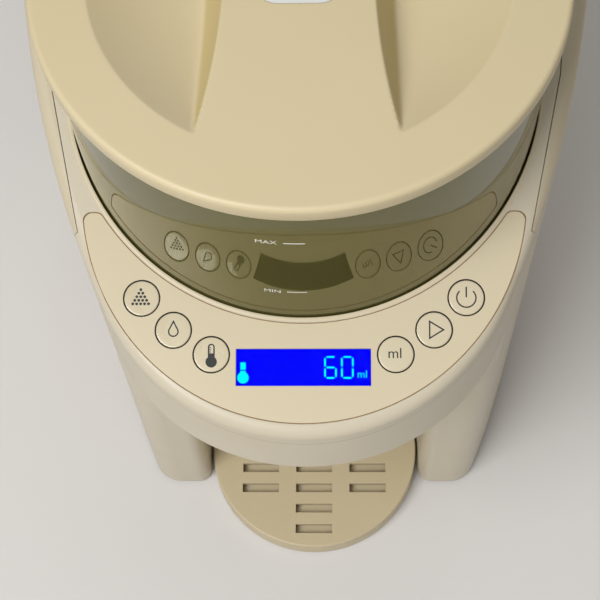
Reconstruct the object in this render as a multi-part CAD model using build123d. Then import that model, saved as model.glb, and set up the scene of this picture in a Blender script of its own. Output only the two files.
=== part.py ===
from build123d import *
import os
from math import asin, atan, cos, pi, radians, sin, sqrt, tan

# Baby formula maker. Millimetres, +Z up, +X to the user's right as they face it, front towards -Y.
# The origin is on the table, in the middle of the machine's plan.

# ---------------------------------------------------------------- driving dimensions
# Powder container, which the body is laid out round
AXIS_Y = -15.0           # axis of the container
CONTAINER_R = 91.0       # outside of the container
WELL_GAP = 1.3           # play of the container in its well
WELL_WALL = 2.0
CONTAINER_FLOOR_T = 3.0
OUTLET_R = 9.5
OUTLET_INSET = 23.5      # powder outlet's middle inside the container's wall

# Body outline
FLANK_MARGIN = 21.2      # from the well out to the widest part of a flank
FRONT_MARGIN = 42.7      # from the well forward to the fascia
BACK_MARGIN = 4.7        # from the well back to the housing's back wall
NOSE_TAPER = 28.5        # the nose's radius is this much less than half the width
FLANK_STRAIGHT = 18.0    # straight end of a flank at the back
WALL = 2.5               # moulded wall
EDGE_R = 5.0             # rolled edge round the deck
SEAT_GAP = 0.3           # gap under a piece that lifts or slides
PRESS_GAP = 0.05         # gap round a piece that is pushed or screwed into place
RUN_GAP = 0.05           # radial clearance of a shaft in its hole
SHADOW_GAP = 0.3         # parting line between two mouldings
CUT = 1.0                # how far a cut runs past a face, and a joined piece sinks in
FINE = 0.01              # smallest length that is told apart

# Deck
DECK_Z = 262.6           # height of the deck at the container's axis
DECK_TILT = 15.0         # slope of the deck down to the front
DECK_T = 3.0
HEAD_BOTTOM_Z = 190.0    # lower edge of the fascia
SEAM_SETBACK = 76.0      # from the fascia back to where the seam leaves the flank
SEAM_LIP = 1.6           # width of the housing's rim at that place
SEAM_STRIP = 6.7         # deck between the well and the seam, beside the container's axis
RIM_W = 8.0              # width of the rim at the back

# Column, bottle bay and base
FOOT_H = 2.5
FOOT_R = 8.0
BASE_T = 2.5
PILLAR_AHEAD = 15.0      # front of the two pillars ahead of the tray's middle
PILLAR_R = 14.0          # outer corner of a pillar
BAY_MOUTH_R = 7.0        # inner corner of a pillar
SPOUT_AHEAD = 3.0        # tray, bottle and funnel ahead of the powder outlet
TRAY_R = 52.4
BAY_GAP = 1.1            # gap between the tray and the bay wall
TONGUE_R = 46.0          # tongue under the tray
SHELF_H = 25.0           # height of the tank's shelf above the base plate
TANK_CORNER_R = 45.0
BOSS_R = 4.5
BOSS_H = 20.0
SCREW_R = 1.5
SCREW_HEAD_R = 3.0
SCREW_HEAD_H = 1.5

# Lid
LID_OVERHANG = 4.0       # lid past the container's wall
LID_EDGE_Z = 325.0       # lower edge of the lid
LID_H = 7.0
LID_TOP_R = 2.0
LID_SKIRT_DROP = 13.0    # how far the inner skirt hangs below the lid's edge
RECESS_INSET = 20.5      # finger recesses inside the lid's edge
RECESS_DEPTH = 14.0
GRIP_HALF_W = 26.0       # half the grip bar at its waist
GRIP_SIDE_R = 270.0      # curve of the grip bar's sides
BADGE_W = 30.0
BADGE_R = 8.0
BADGE_T = 0.8
GASKET_W = 2.3
GASKET_H = 4.0
GASKET_Z = 316.0

# Dosing rotor
WHEEL_GAP = 4.5          # wheel inside the container's wall
WHEEL_T = 8.0
POCKETS = 12
POCKET_R = 8.5
HUB_R = 11.0
SCRAPER_T = 2.0
SCRAPER_HALF_ANGLE = 17.0
SCRAPER_MARGIN = 15.0    # scraper past the outlet's middle, towards the axis
ARMS = 3
ARM_W = 5.0
ARM_H = 6.0
ARM_GAP = 8.5            # arms' ends inside the container's wall
ARM_COLLAR_R = 15.0
PADDLE_H = 12.0

# Drive train
CHASSIS_T = 2.5
CHASSIS_SETBACK = 12.0   # plate's back edge in front of the back wall
GEAR_MODULE = 1.5
GEAR_TEETH = 48
PINION_TEETH = 12
TOOTH_TIP = 0.8          # height of a tooth above the pitch circle, in modules
TOOTH_ROOT = 1.15        # depth of a tooth under the pitch circle, in modules
TIP_HALF_W = 0.36        # half a tooth's width at its tip, in modules
ROOT_HALF_W = 0.95       # half a tooth's width at its root, in modules
GEAR_T = 6.0
GEAR_LIFT = 1.5          # gear above the chassis plate
AXLE_R = 3.0
AXLE_FLANGE_R = 6.0
AXLE_FLANGE_T = 2.0
DOG_W = 12.0             # square drive dog
DOG_H = 10.0
DOG_GAP = 0.3
WELL_ABOVE_GEAR = 3.0
MOTOR_R = 18.0
MOTOR_H = 50.0
MOTOR_SHAFT_R = 2.5
MOTOR_SCREW_X = 14.0

# Control panel, in and under the deck
PANEL_T = 0.8
PANEL_GAP = 1.2          # panel's inner edge outside the well
PANEL_BORDER = 4.7       # deck in front of the panel
HORN_W = 7.0             # width of the crescent where its horns end
PANEL_HORN_R = 3.2
DISPLAY_W = 50.8
DISPLAY_H = 14.0
DISPLAY_SETBACK = 20.55  # display's middle behind the panel's front edge
BUTTON_R = 7.0
BUTTON_GAP = 0.35
BUTTON_FLANGE_R = 8.4
BUTTON_FLANGE_T = 1.0
BUTTON_INSET = 5.0       # the buttons' arc is this much tighter than the nose
BUTTON_SETBACK = 22.0    # front of that arc behind the fascia
BUTTON_MARGIN = 10.5     # from the display's end to the nearest button's middle, along the arc
FLANGE_GAP = 0.23        # between the flanges of two neighbours
BOARD_DROP = 9.0         # board below the deck's top
BOARD_T = 1.6
BOARD_INSET = 6.0        # board's front edge inside the nose
BOARD_BEHIND = 8.0       # board's ends in front of the seam's front
BOARD_GAP = 1.0          # between the board and the well
SWITCH_W = 6.0
SWITCH_H = 3.5
POST_R = 2.6
POST_INNER = 27.0        # directions of the board's posts, from straight ahead
POST_OUTER = 72.0
MODULE_RIM = 2.5
MODULE_H = 3.5

# Funnel
FUNNEL_GAP = 0.5         # funnel cover below the head
FUNNEL_COVER_T = 2.0
FUNNEL_FLANGE_T = 3.0
FUNNEL_FLANGE_R = 42.0
FUNNEL_MOUTH_R = 34.0
FUNNEL_SPOUT_R = 9.0
FUNNEL_SPOUT_H = 6.0
FUNNEL_Z = 150.0
FUNNEL_WALL = 2.0
FUNNEL_CORNER_R = 8.0
RAIL_W = 4.5
RAIL_T = 3.0
RAIL_LIP = 3.5
RAIL_BEHIND = 21.0       # rails' ends behind the funnel's middle
CHUTE_WALL = 2.0
NOZZLE_AHEAD = 17.0      # water nozzle ahead of the funnel's middle
NOZZLE_R = 4.0
NOZZLE_BORE_R = 2.0
NOZZLE_FLANGE_R = 6.0
NOZZLE_FLANGE_T = 1.0
NOZZLE_PORT_X = 8.0      # hose's end beside the nozzle's axis

# Tray
TRAY_UNDER = 1.0         # tray skirt above the table
TRAY_FLOOR_T = 1.6
TRAY_H = 11.0
TRAY_WALL = 2.0
COVER_T = 2.5
COVER_LIP = 0.8
SLOT_W = 18.5
SLOT_H = 4.6
SLOT_PITCH = 10.75
SLOT_COLUMN_X = 27.4
CENTRE_SLOTS = 9
SIDE_SLOTS = 5

# Water tank
TANK_DEPTH = 68.0        # from the housing's back wall to the back of the tank
TANK_GAP = 0.6           # between the tank and the housing
TANK_WALL = 2.5
TANK_TOP_Z = 283.0
TANK_FRONT_R = 4.0
TANK_LID_T = 6.0
TANK_LID_R = 3.0
TANK_SKIRT_H = 6.0
TANK_SKIRT_GAP = 0.4
TANK_SKIRT_T = 2.0
TANK_OUTLET_Y = 34.0     # tank's outlet behind the housing's back wall
SPIGOT_R = 8.0
SPIGOT_WALL = 2.0
SPIGOT_LEN = 10.0
SEAT_BORE_R = 4.0
POPPET_R = 5.0
POPPET_T = 2.0
POPPET_STEM_R = 1.5
POPPET_OPEN = 3.0        # travel of the tank valve
CAGE_R = 11.0
CAGE_H = 26.0
CAGE_WALL = 2.0
CAGE_RIBS = 6
SPRING_WIRE_R = 0.5
SPRING_R = 3.4
SPRING_TURNS = 5
DOCK_R = 13.0
DOCK_H = 22.0
SEAL_H = 4.0
SEAL_T = 1.2

# Water path and power
HOSE_R = 3.5
HOSE_BORE_R = 2.0
HOSE_BEND_R = 12.0
HOSE_LIFT = 1.5          # nozzle hose above the chassis plate
PUMP_INSET = 53.5        # pump's axis inside the flank
PUMP_AHEAD = 37.0        # pump and heater in front of the back wall
PUMP_R = 15.0
PUMP_H = 45.0
HEATER_INSET = 55.5      # heater's axis inside the flank
HEATER_R = 20.0
HEATER_H = 90.0
PORT_Z = 20.0            # ports of the pump, heater and dock
PORT_R = 3.0
PORT_LEN = 5.0
POWER_BOARD_W = 70.0
POWER_BOARD_D = 36.0
POWER_BOARD_AHEAD = 33.0 # board's middle in front of the pump
POWER_POST_H = 5.0
INLET_X = 40.0
INLET_W = 24.0
INLET_H = 14.0
INLET_D = 20.0
INLET_SOCKET_W = 17.0
INLET_SOCKET_H = 8.5
INLET_SOCKET_D = 12.0
INLET_PIN_R = 1.2
INLET_PIN_PITCH = 8.6

# ---------------------------------------------------------------- derived places
WELL_R = CONTAINER_R + WELL_GAP
BODY_HALF_W = WELL_R + FLANK_MARGIN
NOSE_R = BODY_HALF_W - NOSE_TAPER
FRONT_Y = AXIS_Y - WELL_R - FRONT_MARGIN
HOUSING_BACK_Y = AXIS_Y + WELL_R + BACK_MARGIN
FLANK_END_Y = HOUSING_BACK_Y - FLANK_STRAIGHT
REAR_Y = HOUSING_BACK_Y + TANK_DEPTH
REACH = 4 * (REAR_Y - FRONT_Y)  # longer than anything here, for cutting blocks
NOSE_Y = FRONT_Y + NOSE_R
FLANK_TURN = 2 * atan((BODY_HALF_W - NOSE_R) / (FLANK_END_Y - NOSE_Y))
FLANK_R = NOSE_R + (FLANK_END_Y - NOSE_Y) / sin(FLANK_TURN)
FLANK_X = BODY_HALF_W - FLANK_R
SEAM_FRONT_Y = FRONT_Y + SEAM_SETBACK
SEAM_MID_X = WELL_R + SEAM_STRIP
BASE_TOP = FOOT_H + BASE_T
SHELF_TOP = BASE_TOP + SHELF_H
BAY_R = TRAY_R + BAY_GAP
CHASSIS_TOP = HEAD_BOTTOM_Z + CHASSIS_T
GEAR_Z = CHASSIS_TOP + GEAR_LIFT
WELL_Z = GEAR_Z + GEAR_T + WELL_ABOVE_GEAR
WELL_FLOOR_Z = WELL_Z + WELL_WALL
CONTAINER_Z = WELL_FLOOR_Z + SEAT_GAP
CONTAINER_IN_R = CONTAINER_R - WALL
OUTLET_DROP = CONTAINER_IN_R - OUTLET_INSET
WHEEL_Z = CONTAINER_Z + CONTAINER_FLOOR_T + SEAT_GAP
SCRAPER_Z = WHEEL_Z + WHEEL_T + SEAT_GAP
ARM_Z = SCRAPER_Z + SCRAPER_T + SEAT_GAP
OUTLET_POINT_Y = AXIS_Y - OUTLET_DROP
TRAY_Y = OUTLET_POINT_Y - SPOUT_AHEAD
COLUMN_FRONT_Y = TRAY_Y - PILLAR_AHEAD
NOZZLE_Y = TRAY_Y - NOZZLE_AHEAD
LID_R = CONTAINER_R + LID_OVERHANG
LID_TOP_Z = LID_EDGE_Z + LID_H
LID_CEILING_Z = LID_TOP_Z - WALL
CONTAINER_TOP_Z = LID_CEILING_Z - SEAT_GAP
GASKET_OUT_R = CONTAINER_IN_R - SEAT_GAP
LID_SKIRT_R = GASKET_OUT_R - GASKET_W - SEAT_GAP
GEAR_R = GEAR_MODULE * GEAR_TEETH / 2
PINION_R = GEAR_MODULE * PINION_TEETH / 2
MOTOR_Y = AXIS_Y + GEAR_R + PINION_R
PANEL_FRONT_Y = FRONT_Y + PANEL_BORDER
PANEL_OUT_R = NOSE_R            # the panel's front edge runs like the nose
PANEL_IN_R = WELL_R + PANEL_GAP
DISPLAY_Y = PANEL_FRONT_Y + DISPLAY_SETBACK
BUTTON_ARC_R = NOSE_R - BUTTON_INSET
BUTTON_ARC_Y = FRONT_Y + BUTTON_SETBACK + BUTTON_ARC_R
BOARD_OUT_R = NOSE_R - BOARD_INSET
COVER_Z = HEAD_BOTTOM_Z - FUNNEL_GAP - FUNNEL_COVER_T
FLANGE_Z = COVER_Z - FUNNEL_FLANGE_T
TRAY_RIM_Z = TRAY_UNDER + TRAY_H - COVER_T
TANK_Z = SHELF_TOP + SEAT_GAP
TANK_FRONT_Y = HOUSING_BACK_Y + TANK_GAP
SPIGOT_END_Z = TANK_Z - SPIGOT_LEN
POPPET_Z = TANK_Z + TANK_WALL + POPPET_OPEN
DOCK_Z = SHELF_TOP - DOCK_H
DOCK_BORE_R = SPIGOT_R + SEAT_GAP + SEAL_T
OUTLET_Y = HOUSING_BACK_Y + TANK_OUTLET_Y
PUMP_X = PUMP_INSET - BODY_HALF_W
PUMP_Y = HOUSING_BACK_Y - PUMP_AHEAD
HEATER_X = BODY_HALF_W - HEATER_INSET
POWER_BOARD_Y = PUMP_Y - POWER_BOARD_AHEAD
HOSE_Z = CHASSIS_TOP + HOSE_R + HOSE_LIFT
CENTRE = (Align.CENTER, Align.CENTER, Align.CENTER)
UP = (Align.CENTER, Align.CENTER, Align.MIN)
DOWN = (Align.CENTER, Align.CENTER, Align.MAX)
DECK_NORMAL = (0, -sin(radians(DECK_TILT)), cos(radians(DECK_TILT)))


# ---------------------------------------------------------------- helpers
def cylinder(radius, z0, z1, x=0.0, y=0.0):
    """Upright cylinder between two heights."""
    return Pos(x, y, z0) * Cylinder(radius, z1 - z0, align=UP)


def tube(radius, bore, z0, z1, x=0.0, y=0.0):
    """Upright tube between two heights."""
    return cylinder(radius, z0, z1, x, y) - cylinder(bore, z0 - CUT, z1 + CUT, x, y)


def block(x0, x1, y0, y1, z0, z1):
    """Box between two corners."""
    return Pos((x0 + x1) / 2, (y0 + y1) / 2, z0) * Box(x1 - x0, y1 - y0, z1 - z0, align=UP)


def slab(face, z0, z1):
    """Plan face raised between two heights."""
    return Pos(0, 0, z0) * extrude(face, z1 - z0)


def deck_z(y):
    """Height of the deck's top at a plan place."""
    return DECK_Z + (y - AXIS_Y) * tan(radians(DECK_TILT))


def on_deck(x, y, drop=0.0):
    """Frame on the deck over a plan place, lowered along the deck's normal."""
    return Plane(origin=(x, y, deck_z(y)), x_dir=(1, 0, 0), z_dir=DECK_NORMAL).offset(-drop)


def below_deck(drop=0.0):
    """Everything under the deck's top, or under a layer lowered from it."""
    return on_deck(0, AXIS_Y, drop) * Box(REACH, REACH, REACH, align=DOWN)


def deck_layer(face, top, bottom):
    """Plan face, seen straight from above, as a sloping layer between two drops from the deck."""
    column = slab(face, 0, LID_TOP_Z)
    return column & (below_deck(top) - below_deck(bottom))


def mirrored(shape):
    """Shape with its mirror image across the middle."""
    return shape + mirror(shape, Plane.YZ)


def flank_x(y, inset=0.0):
    """Half width of the body's outline at a plan place on the flank."""
    if y > FLANK_END_Y:
        return BODY_HALF_W - inset
    return FLANK_X + sqrt((FLANK_R - inset) ** 2 - (FLANK_END_Y - y) ** 2)


def body_plan(inset=0.0):
    """Outline of the body: rounded nose, long flanks tangent to it, flat back."""
    nose = NOSE_R - inset
    side = BODY_HALF_W - inset
    back = HOUSING_BACK_Y - inset
    joint_x, joint_y = nose * cos(FLANK_TURN), NOSE_Y - nose * sin(FLANK_TURN)
    edges = [ThreePointArc((-joint_x, joint_y), (0, NOSE_Y - nose), (joint_x, joint_y))]
    edges += flank_edges(FLANK_TURN, inset)
    edges.append(Line((-side, back), (side, back)))
    return make_face(edges)


def flank_edges(turn, inset=0.0):
    """Both flanks of the outline: a curve that starts at a turn from its widest place, then straight."""
    side, radius = BODY_HALF_W - inset, FLANK_R - inset
    edges = []
    for sign in (1, -1):
        front, middle = [
            (sign * (FLANK_X + radius * cos(angle)), FLANK_END_Y - radius * sin(angle))
            for angle in (turn, turn / 2)
        ]
        edges.append(ThreePointArc(front, middle, (sign * side, FLANK_END_Y)))
        edges.append(Line((sign * side, FLANK_END_Y), (sign * side, HOUSING_BACK_Y - inset)))
    return edges


def seam_plan(gap=0.0):
    """Plan area of the head and column mouldings, inside the seam with the housing."""
    lip_x = flank_x(SEAM_FRONT_Y)
    step_y = SEAM_FRONT_Y - gap
    inner = [
        (lip_x - SEAM_LIP - gap, step_y),
        (SEAM_MID_X - gap, AXIS_Y),
        (BODY_HALF_W - RIM_W - gap, HOUSING_BACK_Y - RIM_W - gap),
    ]
    right = [(REACH, -REACH), (REACH, step_y)] + inner
    left = [(-x, y) for x, y in reversed(right)]
    return make_face(Polyline(*right, *left, close=True))


def round_corners(face, corners, radius):
    """Face with the vertices nearest to some corners rounded."""
    picked = [face.vertices().sort_by_distance((x, y, 0))[0] for x, y in corners]
    return fillet(picked, radius)


def hose(points):
    """Hollow hose along straight runs joined by bends."""
    path = FilletPolyline(*points, radius=HOSE_BEND_R) if len(points) > 2 else Line(*points)
    start = Plane(origin=path @ 0, z_dir=path % 0)
    return sweep(start * Circle(HOSE_R), path=path) - sweep(start * Circle(HOSE_BORE_R), path=path)


def gear_plan(teeth, phase=0.0):
    """Spur gear outline with straight-sided teeth and a little backlash."""
    pitch_r = GEAR_MODULE * teeth / 2
    root, tip = pitch_r - TOOTH_ROOT * GEAR_MODULE, pitch_r + TOOTH_TIP * GEAR_MODULE
    root_half, tip_half = ROOT_HALF_W * GEAR_MODULE, TIP_HALF_W * GEAR_MODULE
    points = []
    for index in range(teeth):
        middle = radians(phase) + 2 * pi * index / teeth
        for radius, half in ((root, -root_half), (tip, -tip_half), (tip, tip_half), (root, root_half)):
            angle = middle + half / radius
            points.append((radius * cos(angle), radius * sin(angle)))
    return make_face(Polyline(*points, close=True))


def screw(shank, place):
    """Pan head screw standing on a frame, its head at the frame's origin and its shank along +Z."""
    return place * (Cylinder(SCREW_HEAD_R, SCREW_HEAD_H, align=DOWN) + Cylinder(SCREW_R, shank, align=UP))


def group(shapes):
    """Several separate solids kept in one node."""
    return Compound(children=[solid for shape in shapes for solid in shape.solids()])


# ---------------------------------------------------------------- shells of the machine
def body_block(inset, drop):
    """Body outline filled from the table up to the deck, or to a layer below it."""
    return slab(body_plan(inset), 0, LID_TOP_Z) & below_deck(drop)


def body_shell():
    """Walls and deck of the whole body before it is parted into mouldings."""
    outer = body_block(0, 0)
    deck = on_deck(0, AXIS_Y)
    rim = [
        edge for edge in outer.edges() if all(abs(deck.to_local_coords(edge @ t).Z) < FINE for t in (0, 0.5, 1))
    ]
    return fillet(rim, EDGE_R) - body_block(WALL, DECK_T)


SHELL = body_shell()


def button_places():
    """Plan places of the six buttons, left to right."""
    first, pitch = DISPLAY_W / 2 + BUTTON_MARGIN, 2 * BUTTON_FLANGE_R + FLANGE_GAP
    turns = [(first + pitch * step) / BUTTON_ARC_R for step in range(3)]
    turns = [-turn for turn in reversed(turns)] + turns
    return [(BUTTON_ARC_R * sin(turn), BUTTON_ARC_Y - BUTTON_ARC_R * cos(turn)) for turn in turns]


BUTTONS = button_places()


def board_posts():
    """Plan places of the posts that carry the control board."""
    reach = BOARD_OUT_R - SCREW_HEAD_R - PRESS_GAP
    turns = [radians(side * angle) for angle in (POST_OUTER, POST_INNER) for side in (-1, 1)]
    return [(reach * sin(turn), NOSE_Y - reach * cos(turn)) for turn in turns]


POSTS = board_posts()


def horn_edges(y, grow=0.0):
    """Inner and outer half width of the panel's crescent at a plan place."""
    in_x = sqrt((PANEL_IN_R - grow) ** 2 - (y - AXIS_Y) ** 2)
    out_x = sqrt((PANEL_OUT_R + grow) ** 2 - (y - PANEL_FRONT_Y - PANEL_OUT_R) ** 2)
    return in_x, out_x


def horn_place():
    """Plan place where the crescent has narrowed to the width of its horns."""
    ahead, behind = AXIS_Y - PANEL_IN_R, PANEL_FRONT_Y + PANEL_OUT_R
    while behind - ahead > FINE:
        middle = (ahead + behind) / 2
        in_x, out_x = horn_edges(middle)
        if out_x - in_x > HORN_W:
            ahead = middle
        else:
            behind = middle
    return ahead


PANEL_HORN_Y = horn_place()


def panel_plan(grow=0.0):
    """Crescent of the control panel, from above."""
    outer = Pos(0, PANEL_FRONT_Y + PANEL_OUT_R) * Circle(PANEL_OUT_R + grow)
    inner = Pos(0, AXIS_Y) * Circle(PANEL_IN_R - grow)
    horn_y = PANEL_HORN_Y + grow
    behind = Pos(0, horn_y) * Rectangle(REACH, REACH, align=(Align.CENTER, Align.MIN))
    corners = [(side * x, horn_y) for side in (-1, 1) for x in horn_edges(horn_y, grow)]
    return round_corners(outer - inner - behind, corners, PANEL_HORN_R)


def head_cover():
    """Sloping deck and front fascia in one moulding."""
    inside = slab(seam_plan(SHADOW_GAP), HEAD_BOTTOM_Z, LID_TOP_Z)
    deck = SHELL & inside & (below_deck(-CUT) - below_deck(DECK_T))
    fascia = SHELL & inside & block(-REACH, REACH, -REACH, SEAM_FRONT_Y - SHADOW_GAP, HEAD_BOTTOM_Z, LID_TOP_Z)
    cover = deck + fascia
    cover -= cylinder(WELL_R, 0, LID_TOP_Z, 0, AXIS_Y)
    cover -= deck_layer(panel_plan(PRESS_GAP), -CUT, PANEL_T)
    for x, y in BUTTONS:
        cover -= on_deck(x, y) * Cylinder(BUTTON_R + BUTTON_GAP, 3 * DECK_T, align=CENTRE)
    window_w, window_h = DISPLAY_W + 2 * PRESS_GAP, DISPLAY_H + 2 * PRESS_GAP
    cover -= on_deck(0, DISPLAY_Y) * Box(window_w, window_h, 3 * DECK_T, align=CENTRE)
    for x, y in POSTS:
        post = on_deck(x, y, DECK_T / 2) * Cylinder(POST_R, BOARD_DROP - DECK_T / 2, align=DOWN)
        cover += post - on_deck(x, y, DECK_T) * Cylinder(SCREW_R + PRESS_GAP, BOARD_DROP, align=DOWN)
    return cover


def rear_housing():
    """Flanks, back wall and the rim beside the deck, with bosses for the base screws."""
    housing = SHELL & slab(body_plan() - seam_plan(), BASE_TOP, LID_TOP_Z)
    half_door = BODY_HALF_W - 2 * TANK_CORNER_R / 3
    door_y = HOUSING_BACK_Y - 2 * WALL
    housing -= block(-half_door, half_door, door_y, HOUSING_BACK_Y + CUT, BASE_TOP, SHELF_TOP)
    housing -= cylinder(WELL_R, HEAD_BOTTOM_Z, LID_TOP_Z, 0, AXIS_Y)
    for x, y in BOSSES:
        boss = cylinder(BOSS_R, BASE_TOP, BASE_TOP + BOSS_H, x, y)
        housing += boss - cylinder(SCREW_R + PRESS_GAP, 0, BASE_TOP + BOSS_H - WALL, x, y)
    return housing


def boss_places():
    """Plan places of the screw bosses inside the flanks."""
    places = (FLANK_END_Y - WALL, SEAM_FRONT_Y + 4 * BOSS_R)
    return [(side * (flank_x(y, WALL) - BOSS_R + CUT), y) for y in places for side in (-1, 1)]


BOSSES = boss_places()


def bay_plan(inset=0.0):
    """Bottle bay from above: a round back with straight sides to the front."""
    radius = BAY_R - inset
    return Pos(0, TRAY_Y) * (Circle(radius) + Rectangle(2 * radius, REACH, align=(Align.CENTER, Align.MAX)))


def column_plan():
    """Lower body from above, with its pillars rounded and without the bay."""
    corner_x = flank_x(COLUMN_FRONT_Y)
    edges = [Line((-corner_x, COLUMN_FRONT_Y), (corner_x, COLUMN_FRONT_Y))]
    edges += flank_edges(asin((FLANK_END_Y - COLUMN_FRONT_Y) / FLANK_R))
    edges.append(Line((-BODY_HALF_W, HOUSING_BACK_Y), (BODY_HALF_W, HOUSING_BACK_Y)))
    plan = make_face(edges)
    plan = round_corners(plan, [(-corner_x, COLUMN_FRONT_Y), (corner_x, COLUMN_FRONT_Y)], PILLAR_R)
    plan -= bay_plan()
    mouth = [(-BAY_R, COLUMN_FRONT_Y), (BAY_R, COLUMN_FRONT_Y)]
    return round_corners(plan, mouth, BAY_MOUTH_R)


COLUMN = column_plan()


def front_column():
    """Pillar fronts and the wall round the bottle bay."""
    ring = COLUMN - offset(COLUMN, -WALL)
    front = Pos(0, SEAM_FRONT_Y - SHADOW_GAP) * Rectangle(REACH, REACH, align=(Align.CENTER, Align.MAX))
    bay = Pos(0, TRAY_Y) * Circle(BAY_R + WALL + CUT)
    return slab(ring & (front + bay), BASE_TOP, HEAD_BOTTOM_Z)


def tank_plan(inset=0.0, front_y=TANK_FRONT_Y):
    """Water tank from above, with large rear corners."""
    half = BODY_HALF_W - inset
    front, rear = front_y + inset, REAR_Y - inset
    plan = Pos(0, (front + rear) / 2) * Rectangle(2 * half, rear - front)
    plan = round_corners(plan, [(-half, rear), (half, rear)], TANK_CORNER_R - inset)
    return plan


def base_plate():
    """Bottom plate with the tray's tongue and the posts of the power board and the dock."""
    strip = Rectangle(2 * TONGUE_R, TRAY_R + WALL, align=(Align.CENTER, Align.MIN))
    tongue = Pos(0, TRAY_Y) * (Circle(TONGUE_R) + strip)
    base = slab(COLUMN + tongue, FOOT_H, BASE_TOP) + slab(tank_plan(0, HOUSING_BACK_Y), FOOT_H, BASE_TOP)
    for x, y in BOSSES:
        base -= cylinder(SCREW_R + PRESS_GAP, 0, BASE_TOP + CUT, x, y)
    base += cylinder(DOCK_R, BASE_TOP - CUT, DOCK_Z, 0, OUTLET_Y)
    for x, y in power_posts():
        base += cylinder(POST_R, BASE_TOP - CUT, BASE_TOP + POWER_POST_H, x, y)
    return base


def tank_shelf():
    """Hollow shelf under the tank, with the places of the dock and the power socket."""
    shelf = slab(tank_plan(0, HOUSING_BACK_Y), BASE_TOP, SHELF_TOP)
    shelf -= slab(tank_plan(WALL, HOUSING_BACK_Y - 2 * WALL), 0, SHELF_TOP - WALL)
    shelf -= cylinder(DOCK_R + PRESS_GAP, SHELF_TOP - 2 * WALL, SHELF_TOP + CUT, 0, OUTLET_Y)
    half_w, half_h = INLET_W / 2 + PRESS_GAP, INLET_H / 2 + PRESS_GAP
    middle_z = (BASE_TOP + SHELF_TOP) / 2
    hole_y = REAR_Y - 2 * WALL
    return shelf - block(
        INLET_X - half_w, INLET_X + half_w, hole_y, REAR_Y + CUT, middle_z - half_h, middle_z + half_h
    )


def power_posts():
    """Plan places of the posts under the power board."""
    half_w, half_d = POWER_BOARD_W / 2 - 2 * POST_R, POWER_BOARD_D / 2 - 2 * POST_R
    return [(sx * half_w, POWER_BOARD_Y + sy * half_d) for sx in (-1, 1) for sy in (-1, 1)]


def chassis_plate():
    """Plate that closes the head from below, with the rails that carry the funnel."""
    behind = Pos(0, HOUSING_BACK_Y - CHASSIS_SETBACK) * Rectangle(REACH, REACH, align=(Align.CENTER, Align.MIN))
    plate = slab(body_plan(WALL + SHADOW_GAP) - behind, HEAD_BOTTOM_Z, CHASSIS_TOP)
    plate -= cylinder(OUTLET_R + CHUTE_WALL, 0, REACH, 0, OUTLET_POINT_Y)
    plate -= cylinder(NOZZLE_R + PRESS_GAP, 0, REACH, 0, NOZZLE_Y)
    plate -= cylinder(AXLE_R + PRESS_GAP, 0, REACH, 0, AXIS_Y)
    plate -= cylinder(2 * MOTOR_SHAFT_R, 0, REACH, 0, MOTOR_Y)
    way = HOSE_R + SHADOW_GAP
    plate -= cylinder(way, 0, REACH, HEATER_X, PUMP_Y)
    plate -= block(HEATER_X - way, HEATER_X + way, PUMP_Y - HOSE_BEND_R, PUMP_Y, 0, REACH)
    for side in (-1, 1):
        plate -= cylinder(SCREW_R + PRESS_GAP, 0, REACH, side * MOTOR_SCREW_X, MOTOR_Y)
    inner = FUNNEL_FLANGE_R + SEAT_GAP
    lip_top = FLANGE_Z - SEAT_GAP
    front = TRAY_Y - FUNNEL_FLANGE_R
    back = TRAY_Y + RAIL_BEHIND
    rail = block(inner, inner + RAIL_W, front, back, lip_top - RAIL_T, HEAD_BOTTOM_Z)
    rail += block(inner - RAIL_LIP, inner + RAIL_W, front, back, lip_top - RAIL_T, lip_top)
    return plate + mirrored(rail)


def container_well():
    """Cup in the head that the powder container stands in."""
    cup = cylinder(WELL_R + WELL_WALL, WELL_Z, LID_TOP_Z, 0, AXIS_Y) & below_deck(DECK_T)
    cup -= cylinder(WELL_R, WELL_FLOOR_Z, LID_TOP_Z, 0, AXIS_Y)
    cup -= cylinder(HUB_R + WELL_WALL, 0, LID_TOP_Z, 0, AXIS_Y)
    cup -= cylinder(OUTLET_R, 0, LID_TOP_Z, 0, OUTLET_POINT_Y)
    return cup


def powder_chute():
    """Short tube that takes the powder from the well down to the funnel."""
    return tube(OUTLET_R + CHUTE_WALL - PRESS_GAP, OUTLET_R, HEAD_BOTTOM_Z, WELL_Z, 0, OUTLET_POINT_Y)


# ---------------------------------------------------------------- control panel
def panel_overlay():
    """Thin crescent inlay with holes for the buttons and the display."""
    overlay = deck_layer(panel_plan(), 0, PANEL_T)
    for x, y in BUTTONS:
        overlay -= on_deck(x, y) * Cylinder(BUTTON_R + BUTTON_GAP, 3 * DECK_T, align=CENTRE)
    window = Box(DISPLAY_W, DISPLAY_H, 3 * DECK_T, align=CENTRE)
    return overlay - on_deck(0, DISPLAY_Y) * window


def display_window():
    """Clear window flush with the panel."""
    return on_deck(0, DISPLAY_Y) * Box(DISPLAY_W - 2 * PRESS_GAP, DISPLAY_H - 2 * PRESS_GAP, PANEL_T, align=DOWN)


def display_module():
    """Display behind the window, standing on the control board."""
    glass_w, glass_h = DISPLAY_W - 4 * PRESS_GAP, DISPLAY_H - 4 * PRESS_GAP
    module = on_deck(0, DISPLAY_Y, PANEL_T + PRESS_GAP) * Box(
        glass_w, glass_h, BOARD_DROP - PANEL_T - PRESS_GAP, align=DOWN
    )
    rim = Box(glass_w + 2 * MODULE_RIM, glass_h + 2 * MODULE_RIM, MODULE_H, align=UP)
    return module + on_deck(0, DISPLAY_Y, BOARD_DROP) * rim


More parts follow.
